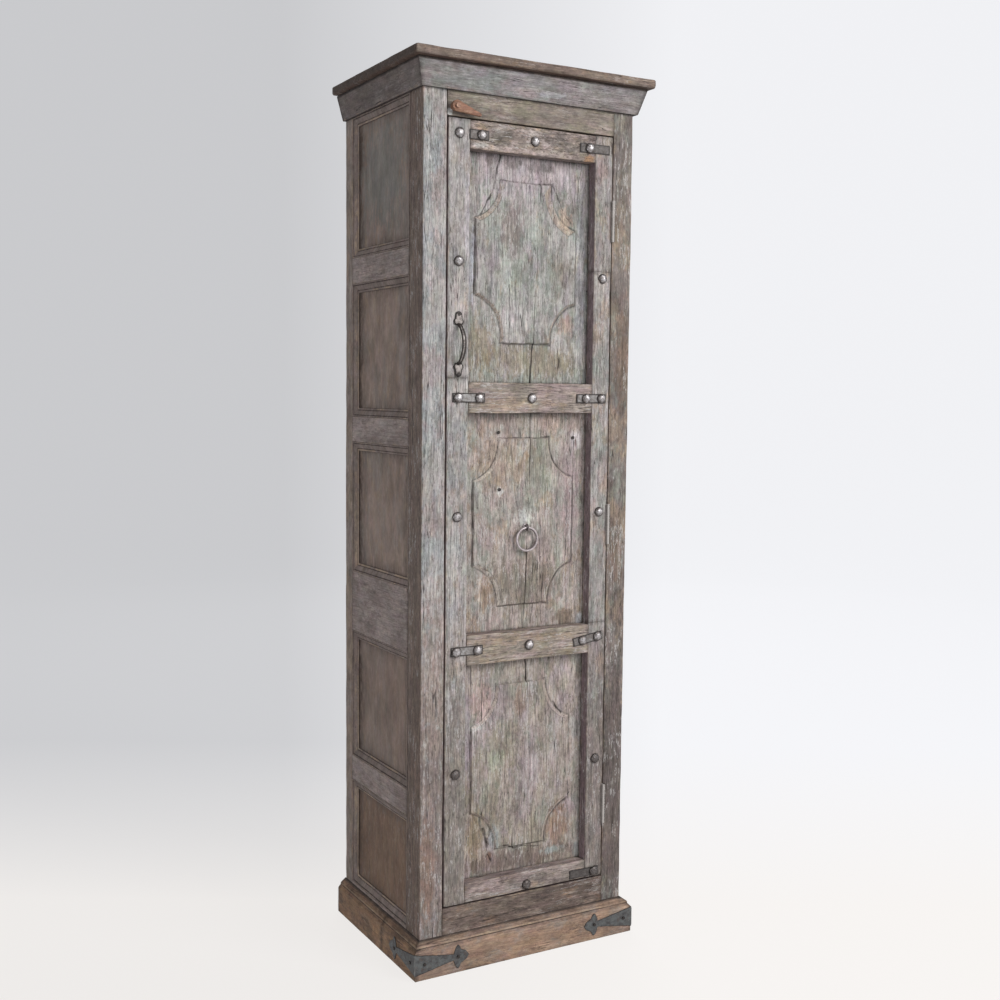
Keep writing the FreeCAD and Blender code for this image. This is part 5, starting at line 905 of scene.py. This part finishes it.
# One board of a panel: a grid over its face whose columns crowd at the seam, and three columns across its back. The
# face rises to the field over the width of the bevel. Dents, chips, the gaping seam and the splits are taken from it.
def panelBoard(name, half):
    look = panelLooks[name]
    foot, head = door["bays"][look["bay"]]
    reach = joinery["rebate"]
    z0, z1 = foot - reach, head + reach
    rows = int((z1 - z0) / fieldForm["rowStep"]) + 1
    z = np.linspace(z0, z1, rows)[:, None]
    wide = door["bayRight"] - door["bayLeft"]
    seam = door["bayLeft"] + wide * np.interp(z, (foot, head), look["seam"])
    keys = np.concatenate([z * 0, z * 0, z], 1)[:, None, :]
    gapeAt, gapeWide = np.array(look["gape"], float).T
    gape = np.interp(z, gapeAt, gapeWide)
    ragged = 0.06 + gape * (0.5 + 0.35 * lumps(keys, 9, look["seed"]))
    wander = 0.9 * lumps(keys, 38, look["seed"] + 1) + 0.5 * lumps(keys, 11, look["seed"] + 4)
    toEdge = np.concatenate([np.linspace(1, 0.035, fieldForm["columns"]), [0.022, 0.012, 0.006, 0.0]])[None, :]
    if half == "left":
        x0, x1 = door["bayLeft"] - reach + 0 * z, seam + wander - ragged
        x = x1 - (x1 - x0) * toEdge
    else:
        x0, x1 = seam + wander + ragged, door["bayRight"] + reach + 0 * z
        x = x0 + (x1 - x0) * toEdge[:, ::-1]
    place = np.stack([x, 0 * x, z + 0 * x], -1)
    sides, scoops = fieldDepth(x + 1.0 * lumps(place, 24, 7) + 0.5 * lumps(place, 8, 8),
                               z + 1.0 * lumps(place, 24, 9) + 0.5 * lumps(place, 8, 10), foot, head, look["low"],
                               look["scoops"])
    scoop = scoops.min(0)
    bevels = np.array(look["edges"], float)[scoops.argmin(0)]
    onScoop = smooth(sides - scoop, -1.0, 3.0)
    width = fieldForm["edge"] + (bevels - fieldForm["edge"]) * onScoop
    depth = np.minimum(sides, scoop)
    rise = fieldForm["rise"] * np.clip(depth / width, 0, 1) ** 0.8
    dip = 0.35 * (1 + lumps(place, (26, 26, 130), look["seed"] + 2)) + 0.12 * (1 + lumps(place, 6, look["seed"] + 3))
    for chipX, chipZ, size in look["chips"]:
        away = np.hypot(x - chipX, (z - chipZ) * 0.8) / size + 0.5 * lumps(place, 6, 15)
        dip = dip + rise * 0.8 * (1 - smooth(away, 0.45, 0.9)) * smooth(lumps(place, (4, 4, 22), 16), -0.2, 0.35)
    toSeam = (np.abs(x1 - x) if half == "left" else np.abs(x - x0)) / np.clip(gape, 0.35, 1.2)
    seamDark = np.clip(0.12 + gape, 0, 1)
    dip = dip + 1.3 * seamDark * np.exp(-toSeam / 1.4)
    splitDark = np.zeros_like(x)
    for splitWide, deep, path in look["splits"]:
        off = toPath(x + 1.6 * lumps(place, 7, 21), z + 1.6 * lumps(place, 7, 22), path)
        opening = 0.75 * splitWide * (0.85 + 0.6 * lumps(place, 10, 23))
        line = np.exp(-(off / np.clip(opening, 0.9, None)) ** 2)
        splitDark, dip = np.maximum(splitDark, line), dip + deep * line
    y = joinery["panelGround"] - rise + dip
    backX = x0 + (x1 - x0) * np.array([1.0, 0.5, 0.0])
    rings = np.stack([np.concatenate([x, backX], 1), np.concatenate([y, backY - 0.2 + 0 * backX], 1),
                      np.concatenate([z + 0 * x, z + 0 * backX], 1)], -1)
    # The crest's wear mark gives bare wood on the scoops' bevels and a painted highlight along the field's crest.
    crest = np.exp(-np.abs(depth - 1.2) / 1.8) * (0.5 + 0.5 * onScoop) + onScoop * (depth > 0) * (depth < width)
    reveal = np.minimum(np.minimum(x - door["bayLeft"], door["bayRight"] - x), np.minimum(z - foot, head - z))
    # the outline is a painted shadow line round the foot of the field; it is broken in places and lies wider at the
    # right, where the field's edge hides it
    broken = np.maximum(smooth(lumps(place, (30, 30, 30), look["seed"] + 8), -0.9, 0.0), 0.75 * onScoop)
    right = smooth(x, 25, 70)
    grime = look["outline"] * broken * np.exp(-np.abs(depth + 0.6 + 1.6 * right) / (1.1 + 0.9 * right))
    # Painted shade as well: a line at the inner end of the wide bevels, a band where the ground meets the frame, and
    # darkness down the seam and in the splits, where it also stands for their dirt.
    grime = grime + 0.7 * onScoop * (width > 7) * np.exp(-np.abs(depth - width) / 0.9)
    grime = grime + np.exp(-np.clip(reveal, 0, None) / 2.6) * 0.75
    grime = grime + 0.95 * seamDark * np.exp(-toSeam / 1.0) + splitDark
    pad = np.zeros((rows, 3))
    return carried(rings, np.concatenate([np.clip(crest, 0, 1), pad], 1),
                   np.concatenate([np.clip(grime, 0, 1), pad], 1))


for name in ("top", "middle", "bottom"):
    for half in ("left", "right"):
        node = "panel_" + name + "_" + half
        piece(node + "_carved", "door", [node], panelLooks[name]["finish"], [panelBoard(name, half)])
print("panels made")

# Domed nails: a profile (radius, rise), turned, and the places x, z of those on the wood and those on the straps.
nails = dict(profile=[(9.6, 0.0), (10.8, 0.4), (11.0, 1.3), (10.3, 2.9), (8.8, 4.5), (6.6, 5.7), (3.8, 6.5),
                      (1.0, 6.9)], dent=0.8, dullBelow=500, dullWear=0.55, dullGrime=0.57,
             onWood=[(5.25, 683.9), (5.25, 1212.8), (5.25, 1745.7), (5.25, 152.4), (-172.0, 1745.7), (-172.0, 422.0),
                     (-172.0, 966.7), (-172.0, 1490.1), (179.75, 410.5), (179.75, 965.0), (179.75, 1472.1)],
             onStraps=[(-172.0, 683.9), (-172.0, 1212.8), (-122.0, 683.9), (-122.0, 1212.8), (-122.0, 1745.7),
                       (140.75, 1745.7), (179.75, 1212.8), (140.75, 1212.8), (179.75, 687.8), (140.75, 681.7),
                       (179.75, 152.4)])
# Straps: x, z, length, tilt, and how pale the strap is rubbed; below zero it is dark.
straps = dict(thick=2.0, half=10.0, bend=0.35, bendSize=11,
              places=[(-147.0, 683.9, 76, 0, 0.7), (-147.0, 1212.8, 76, 0, 0.8), (-127.0, 1745.7, 45, 0, 0.2),
                      (154.75, 1212.8, 76, 0, 0.7), (154.75, 1745.7, 76, 0, -0.5), (154.75, 152.4, 76, 0, -0.8),
                      (154.75, 683.9, 76, 9, 0.5)])
heads = []
for k, (x, z) in enumerate(nails["onWood"] + nails["onStraps"]):
    seat = frontY - straps["thick"] * (k >= len(nails["onWood"]))
    points, faces, marks = turned(nails["profile"], onFront(x, seat, z), seed=k, dent=nails["dent"])
    # Nails low on the door get less of the painted highlight on the dome and more of the painted dark rim.
    if z < nails["dullBelow"]:
        marks[:, 0], marks[:, 1] = nails["dullWear"] * marks[:, 0], np.maximum(marks[:, 1], nails["dullGrime"])
    heads.append((points, faces, marks))
piece("door_nails_domed", "door", ["door_nails"], nailIron, heads, sharpAngle=60)


# A strap: a thin board, bent a little by noise and turned by its tilt, dark along its rim and rubbed within it.
def strapPlate(x, z, long, tilt, rubbed, seed):
    thick, half = straps["thick"], straps["half"]
    points, faces, marks = board((-long / 2, -thick, -half), (long / 2, 0.0, half), "x", round=0.7, uneven=0.5,
                                 dent=0.35, endRound=0.7, step=3, sideStep=3, edgeReach=1.6, seed=seed)
    fromEdge = np.minimum(long / 2 - np.abs(points[:, 0]), half - np.abs(points[:, 2]))
    soiled = np.maximum(1 - smooth(fromEdge, 0.6, 1.8), 0.5 - 0.25 * min(rubbed, 0))
    marks = np.stack([max(rubbed, 0) * smooth(fromEdge, 1.0, 3.0), soiled, 0 * fromEdge], 1)
    bend = straps["bend"] * lumps(points + 100 * seed, straps["bendSize"], seed)
    points = points + bend[:, None] * np.array([1, 0.3, 1])
    cosine, sine = math.cos(math.radians(tilt)), math.sin(math.radians(tilt))
    across, up = points[:, 0] * cosine - points[:, 2] * sine, points[:, 0] * sine + points[:, 2] * cosine
    return np.stack([x + across, frontY + points[:, 1], z + up], -1), faces, marks


piece("door_straps_bent", "door", ["door_straps"], zincIron,
      [strapPlate(*place, 50 + k) for k, place in enumerate(straps["places"])])

# Pull handle: a bar on an arc that swells in its middle, between two plates of three lobes.
handle = dict(x=-172.0, z=1321.8, radius=45.39, centreY=-162.1, barHalf=3.5, plateThick=2.5, plateOff=47.0,
              # each lobe of the upper plate: across, up, radius
              lobes=[(0, 12.4, 7.4), (-4.0, -1.2, 7.4), (4.0, -1.2, 7.4), (0, 6, 8.2), (0, 0, 6)])


# The outline round a group of discs: in each direction from the middle, the farthest point that lies on any disc.
def lobedOutline(discs, count=64):
    turn = np.linspace(0, 2 * np.pi, count, endpoint=False)
    direction = np.stack([np.cos(turn), np.sin(turn)], 1)
    far = []
    for u, v, radius in discs:
        along = direction @ np.array([u, v])
        inside = along ** 2 - (u * u + v * v) + radius ** 2
        far.append(np.where(inside > 0, along + np.sqrt(np.clip(inside, 0, None)), 0))
    return direction * np.max(far, axis=0)[:, None]


# The bow: an oval section carried along the arc from plate to plate. Its width swells as a cosine towards the middle,
# and width and depth swell on a bell curve before each plate.
def handleBow():
    ends = math.acos((abs(frontY) - abs(handle["centreY"])) / handle["radius"])
    turn = np.linspace(-ends, ends, 61)[:, None]
    part = np.abs(turn) / ends
    collar = 0.25 * np.exp(-((part - 0.86) / 0.05) ** 2)       # a small swelling before each plate
    wide = handle["barHalf"] * (1.25 + 0.18 * np.cos(part * np.pi / 2) + collar)
    deep = handle["barHalf"] * (0.80 + collar)
    around = np.linspace(0, 2 * np.pi, 20, endpoint=False)[None]
    off = deep * np.cos(around)
    x = handle["x"] + wide * np.sin(around)
    y = handle["centreY"] - (handle["radius"] + off) * np.cos(turn)
    z = handle["z"] + (handle["radius"] + off) * np.sin(turn)
    # A painted highlight: a pale stripe down the side of the bar that faces the view, fading before the plates.
    facing = (around + 0.35 + np.pi) % (2 * np.pi) - np.pi
    wear = np.exp(-(facing / 0.42) ** 2) * smooth(1 - part, 0.05, 0.35)
    return carried(np.stack([x + 0 * y, y, z], -1), wear * np.ones_like(y))


shells = [handleBow()]
for end in (1, -1):
    lobes = [(u, v * end, radius) for u, v, radius in handle["lobes"]]
    shells.append(plate(lobedOutline(lobes), handle["plateThick"],
                        onFront(handle["x"], frontY, handle["z"] + end * handle["plateOff"]), crown=0.8, seed=7,
                        dent=0.5))
piece("door_handle_forged", "door", ["door_handle"], blackIron, shells, sharpAngle=50)


# The ring hangs in its eye, which stands on a washer.
ring = dict(centre=(4.03, -168.5, 911.5), radius=24.6, wire=3.1)
eye = dict(centre=(4.03, -168.5, 936.7), radius=6.0, wire=1.95,
           washer=[(3.0, 0.0), (7.2, 0.0), (7.5, 0.5), (7.2, 1.2), (5.5, 1.5), (1.0, 1.5)])


# A ring of round wire: a circle of the wire's radius carried round a circle; along and across are unit vectors.
def wireRing(centre, radius, wire, along, across, seed):
    turn = np.linspace(0, 2 * np.pi, 72, endpoint=False)[:, None]
    around = np.linspace(0, 2 * np.pi, 16, endpoint=False)[None]
    along, across = np.array(along, float), np.array(across, float)
    normal = np.cross(along, across)
    outward = along * np.cos(turn)[..., None] + across * np.sin(turn)[..., None]
    thick = wire * (1 - 0.05 * (1 + np.cos(3 * turn)))
    rings = np.array(centre) + outward * (radius + thick * np.cos(around))[..., None]
    rings = rings + normal * (thick * np.sin(around))[..., None]
    rings = rings + 0.12 * lumps(rings, 6, seed)[..., None]
    # A painted highlight: the wire is pale on its outer side that faces the front on the ring and the right on the
    # eye.
    wear = np.clip(0.5 * np.cos(around) + 0.8 * np.sin(around), 0, 1) * np.ones_like(turn)
    return carried(rings, wear, closedPath=True)


piece("pull_ring_forged", "ring", ["pull_ring"], ringIron,
      [wireRing(ring["centre"], ring["radius"], ring["wire"], (1, 0, 0), (0, 0, 1), 3)], sharpAngle=80)
piece("ring_eye_forged", "door", ["ring_eye"], ringIron,
      [wireRing(eye["centre"], eye["radius"], eye["wire"], (0, 1, 0), (0, 0, 1), 4),
       turned(eye["washer"], onFront(eye["centre"][0], joinery["fieldFace"], eye["centre"][2]))], sharpAngle=60)

# Turn button: a bar that tapers from a round head to a small round tip, its top edges rounded over.
turnButton = dict(pivot=(-184.5, 1795.2), low=-188.7, thick=8.0, head=11.5, tip=3.5, long=68.0, angle=-14.0,
                  square=0.42)       # below 1 the section is squarer than a circle


# The bar: a section carried along its length, whose width and height are a cosine and a sine raised to a power. The
# half width is a circle's at the head and the tip, and falls evenly between them.
def buttonBar():
    half, tipHalf, power = turnButton["head"], turnButton["tip"], turnButton["square"]
    tipFrom = turnButton["long"] - half - tipHalf
    along = np.concatenate([-half * np.cos(np.linspace(0.12, np.pi / 2, 12)), np.linspace(0, tipFrom, 30)[1:],
                            tipFrom + tipHalf * np.sin(np.linspace(0.1, np.pi / 2 - 0.12, 8))])
    roundHead = np.sqrt(np.clip(half ** 2 - along ** 2, 0.3, None))
    roundTip = np.sqrt(np.clip(tipHalf ** 2 - (along - tipFrom) ** 2, 0.15, None))
    width = np.where(along < 0, roundHead, half + (tipHalf - half) * along / tipFrom)
    width = np.where(along > tipFrom, roundTip, width)[:, None]
    around = np.linspace(0, 2 * np.pi, 28, endpoint=False)[None]
    across = width * np.sign(np.cos(around)) * np.abs(np.cos(around)) ** power
    rise = np.sign(np.sin(around)) * np.abs(np.sin(around)) ** power
    thick = turnButton["thick"] / 2
    ends = np.clip(np.sqrt(np.clip(width / 3.0, 0, 1)), 0.3, 1)
    rise = thick + thick * rise * np.where(rise > 0, ends, 1)
    hollows = 1 + lumps(np.stack([along[:, None] + 0 * rise, across, rise], -1), 14, 5)
    rise = rise - 0.5 * (rise > thick) * hollows / 2
    cosine, sine = math.cos(math.radians(turnButton["angle"])), math.sin(math.radians(turnButton["angle"]))
    run = along[:, None]
    x = turnButton["pivot"][0] + run * cosine - across * sine
    z = turnButton["pivot"][1] + run * sine + across * cosine
    wear = smooth(np.abs(across) / width, 0.75, 0.95) * (rise > thick)
    return carried(np.stack([x, turnButton["low"] - rise, z], -1), wear)


piece("turn_button_carved", "button", ["turn_button"], buttonWood, [buttonBar()], sharpAngle=55)
print("ironwork made")

# The room, the lamps and the camera are in metres. The paper has its own glow, laid out for the camera's place: the
# wall brightens from left to right, and the floor is brighter.
room = dict(paper=(84, 84, 84), radius=7.0, rise=6.0, curve=1.6, under=0.0003, hub=0.05, steps=14, around=96,
            air=(240, 242, 246), airStrength=0.30, wall=(0.57, 0.87), wallFrom=(-0.17, 0.13),
            floor=(0.79, 0.85), floorFrom=(0.28, 0.41), cool=(0.965, 0.97, 1.0), warm=(1.0, 0.972, 0.95))
view = dict(place=(-1.3893, -2.5092, 1.2239), yaw=0.5154, pitch=-0.0839, roll=0.0101, lens=45.95, sensor=36.0)


# The studio: a flat floor that turns up into a round wall on a quarter circle, all one surface.
def studio():
    flat = np.linspace(room["hub"], room["radius"] - room["curve"], room["steps"])
    turn = np.linspace(0, np.pi / 2, room["steps"])[1:]
    radius = np.concatenate([flat, room["radius"] - room["curve"] + room["curve"] * np.sin(turn), [room["radius"]]])
    height = np.concatenate([0 * flat, room["curve"] * (1 - np.cos(turn)), [room["rise"]]]) - room["under"]
    around = np.linspace(0, 2 * np.pi, room["around"], endpoint=False)
    points = np.stack([radius[:, None] * np.cos(around), radius[:, None] * np.sin(around),
                       height[:, None] + 0 * around], -1)
    rows, count = points.shape[:2]
    index = np.arange(rows * count).reshape(rows, count)
    inner, outer = index[:-1], index[1:]
    quads = np.stack([inner, np.roll(inner, -1, 1), np.roll(outer, -1, 1), outer], -1).reshape(-1, 4)
    mesh = bpy.data.meshes.new("studio")
    mesh.from_pydata(points.reshape(-1, 3).tolist(), [], quads[:, ::-1].tolist() + [index[0].tolist()])
    mesh.polygons.foreach_set("use_smooth", np.ones(len(mesh.polygons), bool))
    thing = bpy.data.objects.new("studio", mesh)
    bpy.context.scene.collection.objects.link(thing)
    paper = bpy.data.materials.new("studio paper")
    paper.use_nodes = True
    tree = paper.node_tree
    shader = tree.nodes["Principled BSDF"]
    shader.inputs["Base Color"].default_value = colour(*room["paper"])
    shader.inputs["Roughness"].default_value = 0.9
    shader.inputs["Specular IOR Level"].default_value = 0.1
    where = put(tree, "ShaderNodeTexCoord", {}).outputs["Object"]
    fromView = vector(tree, "SUBTRACT", {0: where, 1: view["place"]})
    ahead = (math.sin(view["yaw"]), math.cos(view["yaw"]), 0.0)
    right = (math.cos(view["yaw"]), -math.sin(view["yaw"]), 0.0)
    far, across, below = [vector(tree, "DOT_PRODUCT", {0: fromView, 1: way}, "Value")
                          for way in (ahead, right, (0.0, 0.0, -1.0))]
    sideways, down = maths(tree, "DIVIDE", across, far), maths(tree, "DIVIDE", below, far)
    onFloor = between(tree, down, *room["floorFrom"])
    glow = put(tree, "ShaderNodeMix", {0: onFloor, 2: between(tree, sideways, *room["wallFrom"], *room["wall"]),
                                       3: between(tree, sideways, *room["wallFrom"], *room["floor"])}).outputs[0]
    tint = blendColour(tree, onFloor, (*room["cool"], 1.0), (*room["warm"], 1.0))
    tree.links.new(tint, shader.inputs["Emission Color"])
    tree.links.new(glow, shader.inputs["Emission Strength"])
    mesh.materials.append(paper)
    thing.visible_diffuse = False      # the paper shows, but adds no light of its own to the cabinet


studio()


# Puts a lamp or a camera at its place by its own three axes; it looks along minus the last.
def aimed(thing, right, up, back, place):
    matrix = np.eye(4)
    matrix[:3] = np.stack([right, up, back, place], 1)
    thing.matrix_world = Matrix(matrix.tolist())


# A square lamp that faces its aim.
def softLight(name, place, aim, size, power, tint):
    data = bpy.data.lights.new(name, "AREA")
    data.shape, data.size, data.energy, data.color = "SQUARE", size, power, tint
    thing = bpy.data.objects.new(name, data)
    bpy.context.scene.collection.objects.link(thing)
    place, aim = np.array(place, float), np.array(aim, float)
    back = (place - aim) / np.linalg.norm(place - aim)
    right = np.cross([0, 0, 1], back)
    right = right / np.linalg.norm(right)
    aimed(thing, right, np.cross(back, right), back, place)
    thing.visible_camera = False


# name, place, aim, size, power, tint
lamps = [("key light", (2.0, -3.8, 3.3), (0, 0, 1.1), 2.4, 166, (1.0, 0.99, 0.975)),
         ("fill light", (-3.4, -2.6, 1.8), (0, 0, 1.0), 2.6, 24, (0.98, 0.99, 1.0)),
         ("rear light", (1.5, 4.2, 3.2), (0, 0, 1.0), 2.4, 50, (1.0, 1.0, 1.0)),
         ("floor bounce", (-0.3, -2.0, 0.05), (-0.1, -0.2, 1.4), 1.8, 8, (1.0, 0.985, 0.97))]
for lamp in lamps:
    softLight(*lamp)

world = bpy.data.worlds.new("studio air")
world.use_nodes = True
world.node_tree.nodes["Background"].inputs["Color"].default_value = colour(*room["air"])
world.node_tree.nodes["Background"].inputs["Strength"].default_value = room["airStrength"]
bpy.context.scene.world = world
bpy.context.scene.view_settings.view_transform = "Standard"


# The camera: its axes come from the yaw, the pitch and then the roll about its line of sight.
def lookAt():
    camera = bpy.data.cameras.new("photo view")
    camera.lens, camera.sensor_width, camera.sensor_fit = view["lens"], view["sensor"], "AUTO"
    camera.clip_start, camera.clip_end = 0.05, 60.0
    thing = bpy.data.objects.new("photo view", camera)
    bpy.context.scene.collection.objects.link(thing)
    yaw, pitch, roll = view["yaw"], view["pitch"], view["roll"]
    ahead = np.array([math.sin(yaw) * math.cos(pitch), math.cos(yaw) * math.cos(pitch), math.sin(pitch)])
    right = np.array([math.cos(yaw), -math.sin(yaw), 0.0])
    up = np.cross(right, ahead)
    cosine, sine = math.cos(roll), math.sin(roll)
    aimed(thing, cosine * right + sine * up, cosine * up - sine * right, -ahead, view["place"])
    bpy.context.scene.camera = thing


lookAt()
print("triangles:", sum(len(f.vertices) - 2 for m in bpy.data.meshes for f in m.polygons))
